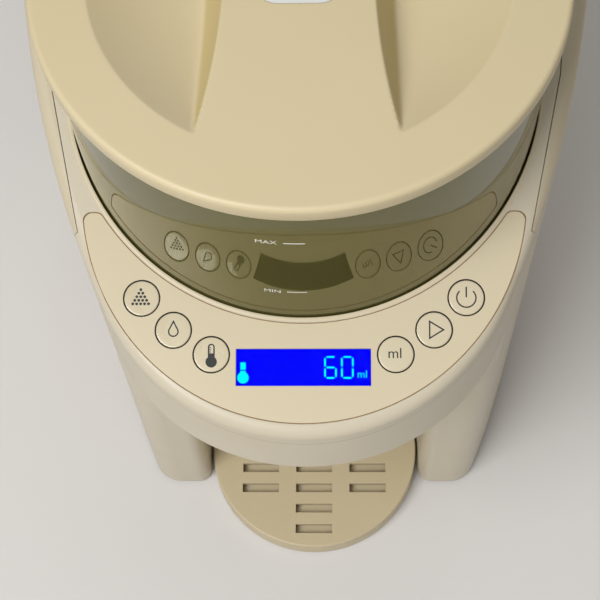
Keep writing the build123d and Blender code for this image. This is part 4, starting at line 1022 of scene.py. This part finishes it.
@dataclass
class Lid:
    """Twist lid with a waisted grip bar between two finger recesses."""

    axis_y: float = AXIS_Y
    radius: float = 95.0
    low: float = 325.0
    top: float = 332.0
    edge_r: float = 2.0
    edge_steps: int = 9
    foot_edge: tuple[Flat, ...] = ((0.0, 0.5), (0.15, 0.15), (0.5, 0.0))  # under the rim, in and up
    inner_edge: float = 0.3
    wall: float = 2.5
    recess_r: float = 74.5
    depth: float = 14.0
    grip_half: float = 26.0
    grip_side_r: float = 270.0
    grip_slope: float = 1.9
    foot_blend: float = 2.2
    blend_share: float = 0.25  # the blend is at most this share of the depth
    blend_least: float = 0.3
    bowl_reach: float = 46.0
    bowl_power: float = 1.8
    badge_half: float = 15.0
    badge_r: float = 8.0
    badge_t: float = 0.8
    badge_gap: float = 0.12
    badge_glue: float = 0.02
    badge_edge: tuple[Flat, ...] = ((0.0, 0.25), (0.07, 0.07), (0.25, 0.0))  # in and down
    hole_edge: float = 0.15
    turns: int = 512
    rings_out: int = 150
    rings_under: int = 36
    sharp: float = 50.0

    def drop(self, x: float, y: float) -> float:
        """Depth of the finger recesses.

        Args:
            x: Place across the grip bar, from the lid's middle.
            y: Place along the grip bar, from the lid's middle.

        Returns:
            The depth, which is 0 outside the recesses.
        """
        inside = self.grip_side_r - hypot(abs(x) - self.grip_half - self.grip_side_r, y)
        ring = self.recess_r - hypot(x, y)
        if inside <= 0 or ring <= 0:
            return 0.0
        wall = self.grip_slope * inside
        bowl = self.depth * (1 - (1 - min(ring / self.bowl_reach, 1.0)) ** self.bowl_power)
        share = self.blend_share
        blend = min(self.foot_blend, share * bowl, share * wall + self.blend_least)
        return max(0.0, (wall + bowl - hypot(wall - bowl, blend)) / 2)

    def badge_reach(self, angle: float, grow: float = 0.0) -> float:
        """Reach of the rounded square badge along a direction.

        Args:
            angle: The direction, in radians.
            grow: What is added to the badge all round.

        Returns:
            The distance from the middle to the badge's edge.
        """
        half, corner = self.badge_half + grow, self.badge_r + grow
        c, s = abs(cos(angle)), abs(sin(angle))
        straight = half - corner
        reach = half / max(c, s)
        if min(c, s) * reach > straight:
            along = straight * (c + s)
            reach = along + sqrt(max(0.0, along * along - 2 * straight * straight + corner * corner))
        return reach

    def angles(self) -> list[float]:
        """Directions of a ring's points, in radians."""
        return [2 * pi * i / self.turns for i in range(self.turns)]

    def even(self, value: float) -> list[float]:
        """The same value for every direction."""
        return [value] * self.turns

    def ring(self, reach: list[float], height: list[float]) -> list[Point]:
        """Ring of points with a reach and a height for each direction."""
        return [(r * cos(a), r * sin(a), z) for a, r, z in zip(self.angles(), reach, height)]

    def build(self, palette: Palette) -> None:
        """Makes the lid's shell and the badge.

        Args:
            palette: Finishes made into materials.
        """
        place = Matrix.Translation((0, self.axis_y, 0))
        shell = Shape(place)
        shell.rings(self._top_rows() + self._rim_rows() + self._under_rows())
        piece = shell.make("lid_shell", palette.of(LID), Body.LID.value, sharp=self.sharp)
        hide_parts("container_lid")
        self._badge(palette, place)

    def _top_rows(self) -> list[list[Point]]:
        """Rings from the badge's seat out over the recesses.

        Returns:
            The rings, from the middle outwards.
        """
        angles = self.angles()
        hole = [self.badge_reach(a, self.badge_gap) for a in angles]
        floor = self.top - self.badge_t - self.badge_glue
        rows: list[list[Point]] = [[(0.0, 0.0, floor)]]
        rows += [self.ring([share * r for r in hole], self.even(floor)) for share in (0.33, 0.66, 1.0)]
        rows.append(self.ring(hole, self.even(self.top - self.hole_edge)))
        start = [r + self.hole_edge for r in hole]
        rows.append(self.ring(start, self.even(self.top)))
        flat = self.radius - self.edge_r
        for step in range(1, self.rings_out + 1):
            share = step / self.rings_out
            reach = [r + (flat - r) * share for r in start]
            height = [self.top - self.drop(r * cos(a), r * sin(a)) for r, a in zip(reach, angles)]
            rows.append(self.ring(reach, height))
        return rows

    def _rim_rows(self) -> list[list[Point]]:
        """Rings over the rim's rounded edge, under it and up its inner side.

        Returns:
            The rings, from the top's edge to the ceiling.
        """
        flat, inner = self.radius - self.edge_r, self.radius - self.wall
        rim = [(flat + self.edge_r * sin(t), self.top - self.edge_r + self.edge_r * cos(t))
               for t in quarter(self.edge_steps)[1:]]
        rim += [(self.radius - inset, self.low + rise) for inset, rise in self.foot_edge]
        rim += [(inner + self.inner_edge, self.low), (inner, self.low + self.inner_edge)]
        rim.append((inner, self.top - self.wall))
        return [self.ring(self.even(r), self.even(z)) for r, z in rim]

    def _under_rows(self) -> list[list[Point]]:
        """Rings of the ceiling, which follows the recesses.

        Returns:
            The rings, from the rim to the middle.
        """
        inner, ceiling = self.radius - self.wall, self.top - self.wall
        rows: list[list[Point]] = []
        for step in range(1, self.rings_under):
            r = inner * (1 - step / self.rings_under)
            height = [ceiling - self.drop(r * cos(a), r * sin(a)) for a in self.angles()]
            rows.append(self.ring(self.even(r), height))
        return rows + [[(0.0, 0.0, ceiling)]]

    def _badge(self, palette: Palette, place: Matrix) -> None:
        """Makes the bare badge with a soft edge.

        Args:
            palette: Finishes made into materials.
            place: Frame at the lid's axis.
        """
        edge = [self.badge_reach(a) for a in self.angles()]
        rows: list[list[Point]] = [[(0.0, 0.0, self.top - self.badge_t)]]
        for inset, low in ((0.0, self.badge_t), *self.badge_edge):
            rows.append(self.ring([r - inset for r in edge], self.even(self.top - low)))
        rows += [self.ring([0.5 * r for r in edge], self.even(self.top)), [(0.0, 0.0, self.top)]]
        badge = Shape(place)
        badge.rings(rows)
        piece = badge.make("blank_badge", palette.of(BADGE), Body.LID.value)
        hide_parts("lid_badge")


@dataclass
class Container:
    """Level marks on the front of the tinted container."""

    axis_y: float = AXIS_Y
    radius: float = 91.0
    type_h: float = 3.6
    line_w: float = 0.6
    chords: int = 8           # of each bent line
    proud: float = 0.01       # what the marks stand off the wall
    marks: tuple[tuple[str, float, float, Pair], ...] = (  # text, height, its middle, ends of the line
        ("MAX", 300.3, -11.5, (-5.5, 2.0)),
        ("MIN", 260.0, -10.8, (-5.5, 1.8)),
    )

    def build(self, palette: Palette) -> None:
        """Makes the marks, bent round the wall.

        Args:
            palette: Finishes made into materials.
        """
        upright = Matrix.Rotation(radians(90), 4, "X")
        for text, height, middle, (left, right) in self.marks:
            shape = Shape(Matrix.Translation((middle, -self.proud, height)) @ upright)
            shape.take(lettering(text, self.type_h))
            shape.place = Matrix.Translation((0, -self.proud, height)) @ upright
            line = [(left + (right - left) * i / self.chords, 0.0) for i in range(self.chords + 1)]
            shape.stroke(line, self.line_w, 0.0, PRINT_T)
            for point in shape.points:
                point.y = min(point.y, 0.0)
            shape.bend(self.radius, self.axis_y)
            shape.make(f"{text.lower()}_mark", palette.of(WHITE_INK), Body.CONTAINER.value)


@dataclass(frozen=True)
class KeyMarks:
    """Printed marks of the keys, drawn round each key's middle."""

    line: float = 0.54
    top: float = PRINT_T
    chords: int = 30          # of a round end
    powder_rows: int = 5
    powder_start: Flat = (-0.35, 3.3)
    powder_pitch: float = 1.5
    powder_row: float = 1.36
    powder_r: float = 0.56
    powder_sides: int = 20
    drop_r: float = 1.78
    drop_y: float = -0.55
    drop_tip: float = 3.35
    bulb_r: float = 2.15
    bulb_y: float = -2.78
    stem_half: float = 1.3
    stem_top: float = 2.8
    stem_chords: int = 14
    fill_y: float = 0.45
    ticks: tuple[float, ...] = (0.95, 1.75, 2.55)
    tick_w: float = 0.32
    tick_gap: float = 0.1
    unit_h: float = 5.6
    unit_shift: Flat = (-0.35, 0.25)
    start_corners: tuple[Flat, ...] = ((-1.7, 3.2), (-1.7, -3.2), (3.5, 0.0))
    ring_r: float = 3.6
    ring_y: float = -0.1
    ring_ends: Pair = (134.0, 406.0)
    ring_chords: int = 48
    power_bar: tuple[Flat, Flat] = ((0.0, 4.1), (0.0, 0.1))

    def draw(self, mark: Shape, icon: Icon) -> None:
        """Draws one key's mark.

        Args:
            mark: Shape that takes the mark.
            icon: Which mark it is.
        """
        drawings = {
            Icon.POWDER: self._powder, Icon.WATER: self._water, Icon.TEMPERATURE: self._temperature,
            Icon.UNIT: self._unit, Icon.START: self._start, Icon.POWER: self._power,
        }
        drawings[icon](mark)

    def _powder(self, mark: Shape) -> None:
        """Heap of dots.

        Args:
            mark: Shape that takes the mark.
        """
        for row in range(self.powder_rows):
            for column in range(row + 1):
                x = self.powder_start[0] + self.powder_pitch * (column - row / 2)
                y = self.powder_start[1] - self.powder_row * row
                dot = arc(x, y, self.powder_r, 0, 360, self.powder_sides)[:-1]
                mark.prism(dot, 0.0, self.top)

    def _water(self, mark: Shape) -> None:
        """Outline of a drop.

        Args:
            mark: Shape that takes the mark.
        """
        lean = degrees_of(self.drop_r, sqrt((self.drop_tip - self.drop_y) ** 2 - self.drop_r**2))
        belly = arc(0, self.drop_y, self.drop_r, 180 - lean, 360 + lean, self.chords)
        mark.stroke([(0.0, self.drop_tip)] + belly, self.line, 0.0, self.top, closed=True)

    def _temperature(self, mark: Shape) -> None:
        """Thermometer with a filled bulb and three ticks.

        Args:
            mark: Shape that takes the mark.
        """
        half, fill = self.stem_half, self.fill_y
        lean = 90 - degrees_of(half, sqrt(self.bulb_r**2 - half**2))
        bulb = arc(0, self.bulb_y, self.bulb_r, 180 - lean, 360 + lean, self.chords)
        mark.prism([(-half, fill)] + bulb + [(half, fill)], 0.0, self.top)
        stem = half - self.line / 2
        crown = arc(0, self.stem_top, stem, 0, 180, self.stem_chords)
        mark.stroke([(stem, fill)] + crown + [(-stem, fill)], self.line, 0.0, self.top)
        for rise in self.ticks:
            ends = [(self.tick_gap - stem, rise), (-self.tick_gap, rise)]
            mark.stroke(ends, self.tick_w, 0.0, self.top)

    def _unit(self, mark: Shape) -> None:
        """Unit in small letters."""
        mark.place = mark.place @ Matrix.Translation((*self.unit_shift, 0.0))
        mark.take(lettering("ml", self.unit_h))

    def _start(self, mark: Shape) -> None:
        """Outline of a triangle."""
        mark.stroke(list(self.start_corners), self.line, 0.0, self.top, closed=True)

    def _power(self, mark: Shape) -> None:
        """Open ring with a bar.

        Args:
            mark: Shape that takes the mark.
        """
        ring = arc(0, self.ring_y, self.ring_r, *self.ring_ends, self.ring_chords)
        mark.stroke(ring, self.line, 0.0, self.top)
        mark.stroke(list(self.power_bar), self.line, 0.0, self.top)


@dataclass
class Display:
    """Lit screen behind the panel's window, with its figures."""

    deck: Deck
    width: float = 50.8
    height: float = 14.0
    middle_y: float = -124.75
    window_t: float = FILM_T
    gap: float = 0.03         # between the window and the screen
    edge: float = 0.1
    screen_t: float = 0.018
    figure_t: float = 0.015
    digits: tuple[tuple[float, str], ...] = ((10.15, "acdefg"), (16.5, "abcdef"))  # middle, lit bars
    digit_half_w: float = 2.05
    digit_half_h: float = 3.95
    bar: float = 0.34         # half the width of a segment
    point: float = 0.3        # length of a segment's pointed end
    side_gap: float = 0.45
    end_gap: float = 0.28
    stem: tuple[float, float, float, float] = (-23.75, -0.8, -21.7, 1.95)  # left, low, right, high
    bulb_at: Flat = (-22.72, -3.85)
    bulb_r: float = 2.18
    bulb_ends: Pair = (118.0, 422.0)
    bulb_chords: int = 40
    neck_y: float = -1.25
    unit_at: Flat = (22.1, -2.7)
    unit_h: float = 4.0
    unit_flat: float = 0.5

    def cut_out(self) -> list[Flat]:
        """Window's outline on the deck, in the frame of the container's axis.

        Returns:
            The four corners.
        """
        u, v = self.deck.flat(0, self.middle_y)
        w, h = self.width / 2, self.height / 2
        return rectangle(u - w, v - h, u + w, v + h)

    def build(self, palette: Palette) -> None:
        """Makes the screen and the figures on it.

        Args:
            palette: Finishes made into materials.
        """
        place = self.deck.place(0, self.middle_y)
        face = -self.window_t - self.gap
        w, h = self.width / 2 - self.edge, self.height / 2 - self.edge
        screen = Shape(place)
        screen.prism(rectangle(-w, -h, w, h), face - self.screen_t, face)
        screen.make("screen_glow", palette.of(SCREEN), Body.MACHINE.value)
        figures = Shape(place)
        top = face + self.figure_t
        for x, lit in self.digits:
            self._digit(figures, x, lit, (face, top))
        figures.prism(rectangle(*self.stem), face, top)
        bulb = arc(*self.bulb_at, self.bulb_r, *self.bulb_ends, self.bulb_chords)
        neck = [(self.stem[0], self.neck_y), (self.stem[2], self.neck_y)]
        figures.prism([neck[0]] + bulb + [neck[1]], face, top)
        flatten = Matrix.Diagonal((1, 1, self.unit_flat, 1))
        figures.place = place @ Matrix.Translation((*self.unit_at, face)) @ flatten
        figures.take(lettering("ml", self.unit_h))
        figures.make("screen_figures", palette.of(DIGITS), Body.MACHINE.value)

    def _digit(self, shape: Shape, x: float, lit: str, levels: Pair) -> None:
        """Adds a seven-segment digit.

        Args:
            shape: Shape that takes the segments.
            x: Middle of the digit.
            lit: Letters of the lit segments, a to g.
            levels: Heights of the segments' underside and top.
        """
        half_w, half_h, bar, point = self.digit_half_w, self.digit_half_h, self.bar, self.point
        reach, length = half_w - self.side_gap, half_h / 2 - self.end_gap
        across = [(-reach, 0), (point - reach, bar), (reach - point, bar),
                  (reach, 0), (reach - point, -bar), (point - reach, -bar)]
        upright = [(0, length), (-bar, length - point), (-bar, point - length),
                   (0, -length), (bar, point - length), (bar, length - point)]
        spots = {
            "a": (across, 0, half_h), "g": (across, 0, 0), "d": (across, 0, -half_h),
            "f": (upright, -half_w, half_h / 2), "b": (upright, half_w, half_h / 2),
            "e": (upright, -half_w, -half_h / 2), "c": (upright, half_w, -half_h / 2),
        }
        for letter in lit:
            outline, dx, dy = spots[letter]
            shape.prism([(x + dx + px, dy + py) for px, py in outline][::-1], *levels)


@dataclass
class ControlPanel:
    """Crescent overlay with its groove, six round keys and the display."""

    deck: Deck
    display: Display
    marks: KeyMarks
    thickness: float = FILM_T
    film_edge: float = 0.12
    film_sharp: float = 8.0
    out_r: float = 85.0
    out_y: float = -60.3
    in_r: float = 93.5
    horn_y: float = -67.05
    horn_r: float = 3.2
    side_chords: int = 90
    horn_chords: int = 14
    groove: float = 0.3
    # the three below size the brown strip down in the groove, which paints the groove's shade
    shade_strip_gap: float = 0.04
    shade_strip_low: float = 0.02    # above the film's underside
    shade_strip_depth: float = 0.15  # below the film's face
    key_r: float = 6.62
    key_gap: float = 0.5
    key_t: float = 4.3
    key_edge: float = 0.4
    key_flat_r: float = 3.0
    edge_steps: int = 6
    flange_r: float = 8.4
    flange_t: float = 1.0
    flange_edge: float = 0.1
    # the three below size black rings that paint shade in the gaps round the keys
    shade_ring_in: float = 0.03    # gap inside a key's painted shade ring
    shade_ring_out: float = 0.01   # gap outside it
    shade_ring_z: Pair = (-1.5, -0.25)
    turns: int = 72
    key_arc_r: float = 80.0
    key_arc_y: float = -48.0
    key_turns: tuple[float, ...] = (-50.11, -37.91, -25.71, 25.71, 37.91, 50.11)

    def outline(self, inset: float) -> list[Flat]:
        """Outline of the overlay's place seen from above.

        Args:
            inset: Distance that the outline is drawn in by.

        Returns:
            The points, anticlockwise from the middle of the front.
        """
        tip, deck_y = self.horn_r, self.deck.axis_y
        cy = self.horn_y - inset - tip
        outer, inner = self.out_r - inset, self.in_r + inset
        out_x = sqrt((outer - tip) ** 2 - (cy - self.out_y) ** 2)
        in_x = sqrt((inner + tip) ** 2 - (cy - deck_y) ** 2)
        out_turn, in_turn = degrees_of(cy - self.out_y, out_x), degrees_of(cy - deck_y, in_x)
        half = arc(0, self.out_y, outer, -90, out_turn, self.side_chords)[1:]
        half += arc(out_x, cy, tip, out_turn, 90, self.horn_chords)[1:]
        half += arc(in_x, cy, tip, 90, 180 + in_turn, self.horn_chords)
        half += arc(0, deck_y, inner, in_turn, -90, self.side_chords)[1:]
        other = [(-x, y) for x, y in reversed(half[:-1])]
        return [(0.0, self.out_y - outer)] + half + other

    def keys(self) -> list[Flat]:
        """Plan places of the keys, left to right."""
        return [(self.key_arc_r * sin(radians(t)), self.key_arc_y - self.key_arc_r * cos(radians(t)))
                for t in self.key_turns]

    def build(self, palette: Palette) -> None:
        """Makes every piece of the panel.

        Args:
            palette: Finishes made into materials.
        """
        self._overlay(palette)
        for icon, (x, y) in zip(Icon, self.keys()):
            self._key(palette, icon, self.deck.place(x, y))
        self._shade_rings(palette)
        self.display.build(palette)

    def _overlay(self, palette: Palette) -> None:
        """Makes the thin film, and the brown strip that paints shade in the fine groove round it.

        Args:
            palette: Finishes made into materials.
        """
        outlines = [[self.deck.flat(x, y) for x, y in self.outline(self.groove)]]
        for x, y in self.keys():
            hole = arc(*self.deck.flat(x, y), self.key_r + self.key_gap, 0, 360, self.turns)
            outlines.append(hole[:-1])
        outlines.append(self.display.cut_out())
        film = Shape(self.deck.place(0, self.deck.axis_y))
        film.take(rounded_plate(outlines, self.thickness, self.film_edge))
        piece = film.make(
            "panel_film", palette.of(PANEL), Body.MACHINE.value, sharp=self.film_sharp
        )
        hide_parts("panel_overlay")
        # brown strip down in the groove paints the groove's shade
        shade_strip = Shape(film.place)
        middle = [self.deck.flat(x, y) for x, y in self.outline(self.groove / 2)]
        low, high = self.shade_strip_low - self.thickness, -self.shade_strip_depth
        shade_strip.stroke(middle, self.groove - self.shade_strip_gap, low, high, closed=True)
        shade_strip.make("panel_groove_shade", palette.of(GROOVE_SHADE), Body.MACHINE.value)

    def _shade_rings(self, palette: Palette) -> None:
        """Makes the black rings that paint shade in the gaps round the keys.

        Args:
            palette: Finishes made into materials.
        """
        shape = Shape()
        inner, outer = self.key_r + self.shade_ring_in, self.key_r + self.key_gap - self.shade_ring_out
        low, high = self.shade_ring_z
        for x, y in self.keys():
            shape.place = self.deck.place(x, y)
            shape.lathe(rectangle(inner, low, outer, high), self.turns, closed=True)
        shape.make("key_shade_rings", palette.of(GAP_SHADE), Body.MACHINE.value)

    def _key(self, palette: Palette, icon: Icon, place: Matrix) -> None:
        """Makes a key cap with a rounded edge and a flange, and its mark.

        Args:
            palette: Finishes made into materials.
            icon: Which key it is.
            place: Frame at the middle of its face.
        """
        cap = Shape(place)
        soft, bevel = self.key_edge, self.flange_edge
        under = self.flange_t - self.key_t
        profile = [(0.0, 0.0), (self.key_flat_r, 0.0)]
        turns = quarter(self.edge_steps)
        profile += [(self.key_r - soft + soft * sin(t), soft * cos(t) - soft) for t in turns]
        profile += [(self.key_r, under), (self.flange_r - bevel, under), (self.flange_r, under - bevel)]
        profile += [(self.flange_r, -self.key_t), (0.0, -self.key_t)]
        cap.lathe(profile, self.turns)
        body = f"{icon.value}_key"
        piece = cap.make(f"{icon.value}_cap", palette.of(KEY), body)
        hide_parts(f"{icon.value}_button")
        mark = Shape(place)
        self.marks.draw(mark, icon)
        mark.make(f"{icon.value}_mark", palette.of(INK), body)


@dataclass
class Tank:
    """Level scale and lid grip of the water tank."""

    rear_y: float = 150.0
    wall: float = 2.5
    lid_top: float = 289.3
    middle_y: float = 116.3
    scale_x: float = 0.0
    low_z: float = 71.0
    step_z: float = 38.23     # 500 ml in the tank's own plan
    figures: tuple[str, ...] = ("500", "1000", "1500", "2000", "2500")
    type_h: float = 7.0
    type_x: float = -14.0     # from the scale
    mark: Pair = (6.0, 0.8)   # half its length, and its width
    half_mark: Pair = (3.0, 0.6)
    rib_half: float = 34.0
    rib_r: float = 7.0
    rib_rise: float = 3.2
    rib_edge: float = 1.4
    rib_sink: float = 0.2
    rib_chords: int = 24
    rib_sharp: float = 60.0

    def build(self, palette: Palette) -> None:
        """Makes the scale inside the rear wall, and the grip.

        Args:
            palette: Finishes made into materials.
        """
        shape = Shape()
        behind = self.rear_y - self.wall / 2
        turn = Matrix.Rotation(pi, 4, "Z") @ Matrix.Rotation(pi / 2, 4, "X")
        for index, text in enumerate(self.figures):
            height = self.low_z + self.step_z * index
            shape.place = Matrix.Translation((self.scale_x + self.type_x, behind, height)) @ turn
            shape.take(lettering(text, self.type_h))
            shape.place = Matrix.Translation((self.scale_x, behind, height)) @ turn
            strokes = [(0.0, *self.mark)]
            if index < len(self.figures) - 1:
                strokes.append((self.step_z / 2, *self.half_mark))
            for rise, half, width in strokes:
                shape.stroke([(-half, rise), (half, rise)], width, 0.0, PRINT_T)
        for point in shape.points:
            point.y = 2 * behind - point.y
        shape.make("level_scale", palette.of(WHITE_INK), Body.TANK.value)
        self._grip(palette)

    def _grip(self, palette: Palette) -> None:
        """Makes the raised rib to lift the lid by.

        Args:
            palette: Finishes made into materials.
        """
        outline = arc(self.rib_half, 0, self.rib_r, -90, 90, self.rib_chords)
        outline += arc(-self.rib_half, 0, self.rib_r, 90, 270, self.rib_chords)
        shape = Shape(Matrix.Translation((0, self.middle_y, self.lid_top + self.rib_rise)))
        shape.take(rounded_plate([outline], self.rib_rise + self.rib_sink, self.rib_edge))
        shape.make("tank_lid_rib", palette.of(SHELL), Body.TANK_TOP.value, sharp=self.rib_sharp)


@dataclass
class Feet:
    """Rubber feet with a hollow middle and a soft edge."""

    radius: float = 8.0
    height: float = 2.5
    tread: tuple[Flat, ...] = (  # radius and height
        (0.0, 0.5), (4.6, 0.5), (5.0, 0.0), (7.2, 0.0), (7.7, 0.2)
    )
    shoulder: float = 0.6
    turns: int = 48
    places: tuple[Flat, ...] = ((69.2, -83.0), (91.0, 123.5))

    def build(self, palette: Palette) -> None:
        """Makes the four feet as one piece.

        Args:
            palette: Finishes made into materials.
        """
        shape = Shape()
        r, h = self.radius, self.height
        profile = [*self.tread, (r, self.shoulder), (r, h), (0.0, h)]
        for x, y in self.places:
            for side in (-1, 1):
                shape.place = Matrix.Translation((side * x, y, 0))
                shape.lathe(profile, self.turns)
        piece = shape.make("soft_feet", palette.of(RUBBER), Body.MACHINE.value)
        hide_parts("rubber_feet")


# ---------------------------------------------------------------- studio
@dataclass
class Lamp:
    """Soft rectangular lamp aimed at the machine, in metres and watts."""

    name: str
    place: Point
    width: float
    height: float
    power: float
    colour: tuple[float, float, float] = (1.0, 1.0, 1.0)

    def build(self, aim: Vector) -> None:
        """Hangs the lamp.

        Args:
            aim: Place that it points at.
        """
        light = bpy.data.lights.new(self.name, "AREA")
        light.shape = "RECTANGLE"
        light.size, light.size_y = self.width, self.height
        light.energy = self.power
        light.color = self.colour
        holder = bpy.data.objects.new(self.name, light)
        holder.location = self.place
        holder.rotation_euler = (aim - Vector(self.place)).to_track_quat("-Z", "Y").to_euler()
        bpy.context.scene.collection.objects.link(holder)


@dataclass
class Studio:
    """Floor, world, lamps and camera, in metres."""

    camera_place: Point = (0.0146, -0.3331, 0.7654)
    elevation: float = 66.04  # degrees that it looks down, as the turns below
    yaw: float = -3.91
    roll: float = -3.70
    focal_px: float = 1522.0
    frame_px: float = 600.0
    sensor: float = 36.0  # in millimetres
    clip: Pair = (0.01, 50.0)
    floor_reach: float = 4.0
    aim: Point = (0.0, -0.03, 0.25)
    world_tone: Colour = tone(190, 185, 174)
    seen_tone: Colour = tone(222, 221, 220)
    world_strength: float = 0.36
    lamps: list[Lamp] = field(default_factory=lambda: [
        Lamp("key", (-0.60, -0.74, 1.43), 0.8, 0.8, 21.4, (1.0, 1.0, 1.0)),
        Lamp("front", (0.35, -1.35, 0.62), 0.9, 0.7, 2.4, (1.0, 0.98, 0.95)),
        Lamp("top", (0.3, 0.05, 2.0), 1.4, 1.4, 4.6, (1.0, 1.0, 1.0)),
        Lamp("back", (0.2, 1.35, 0.4), 0.9, 0.5, 4.0, (1.0, 1.0, 1.0)),
    ])

    def build(self, palette: Palette) -> None:
        """Sets up the whole studio.

        Args:
            palette: Finishes made into materials.
        """
        self._floor(palette)
        self._world()
        for lamp in self.lamps:
            lamp.build(Vector(self.aim))
        self._camera()
        bpy.context.scene.view_settings.view_transform = "Standard"
        LOG.info("studio ready")

    def _floor(self, palette: Palette) -> None:
        """Lays the wide pale floor.

        Args:
            palette: Finishes made into materials.
        """
        mesh = bpy.data.meshes.new("studio_floor")
        reach = self.floor_reach
        corners = [(x, y, 0.0) for x, y in rectangle(-reach, -reach, reach, reach)]
        mesh.from_pydata(corners, [], [(0, 1, 2, 3)])
        mesh.materials.append(palette.of(FLOOR))
        floor = bpy.data.objects.new("studio_floor", mesh)
        bpy.context.scene.collection.objects.link(floor)

    def _world(self) -> None:
        """Pale world that lights softly and is paler where it is seen."""
        world = bpy.data.worlds.new("studio")
        bpy.context.scene.world = world
        world.use_nodes = True
        world.node_tree.nodes.clear()
        g = Graph(world.node_tree)
        soft = g.node("Background", {"Color": self.world_tone, "Strength": self.world_strength})
        seen = g.node("Background", {"Color": self.seen_tone, "Strength": 1.0})
        path = g.node("LightPath")
        direct = g.math("MAXIMUM", path.outputs["Is Camera Ray"], path.outputs["Is Transmission Ray"])
        mixed = g.node("MixShader", {0: direct, 1: soft.outputs[0], 2: seen.outputs[0]})
        g.node("OutputWorld", {"Surface": mixed.outputs[0]})

    def _camera(self) -> None:
        """Camera over the front of the machine, looking steeply down."""
        up_angle, yaw, roll = radians(self.elevation), radians(self.yaw), radians(self.roll)
        ahead = Vector((sin(yaw) * cos(up_angle), cos(yaw) * cos(up_angle), -sin(up_angle)))
        right = Vector((cos(yaw), -sin(yaw), 0.0))
        up = right.cross(ahead)
        side = cos(roll) * right + sin(roll) * up
        top = -sin(roll) * right + cos(roll) * up
        camera = bpy.data.cameras.new("camera")
        camera.sensor_width = self.sensor
        camera.lens = self.focal_px / self.frame_px * self.sensor
        camera.clip_start, camera.clip_end = self.clip
        holder = bpy.data.objects.new("camera", camera)
        turn = Matrix((side, top, -ahead)).transposed().to_4x4()
        holder.matrix_world = Matrix.Translation(self.camera_place) @ turn
        bpy.context.scene.collection.objects.link(holder)
        bpy.context.scene.camera = holder


def main() -> None:
    """Builds the studio and every sub-assembly in order."""
    logging.basicConfig(level=logging.INFO, format="%(name)s: %(message)s")
    palette = Palette()
    Studio().build(palette)
    palette.dress_frame()
    deck = Deck()
    deck.lip(palette)
    for assembly in (Lid(), Container(), ControlPanel(deck, Display(deck), KeyMarks()), Tank(), Feet()):
        assembly.build(palette)
        LOG.info("finished %s", type(assembly).__name__)


if __name__ == "__main__":
    main()
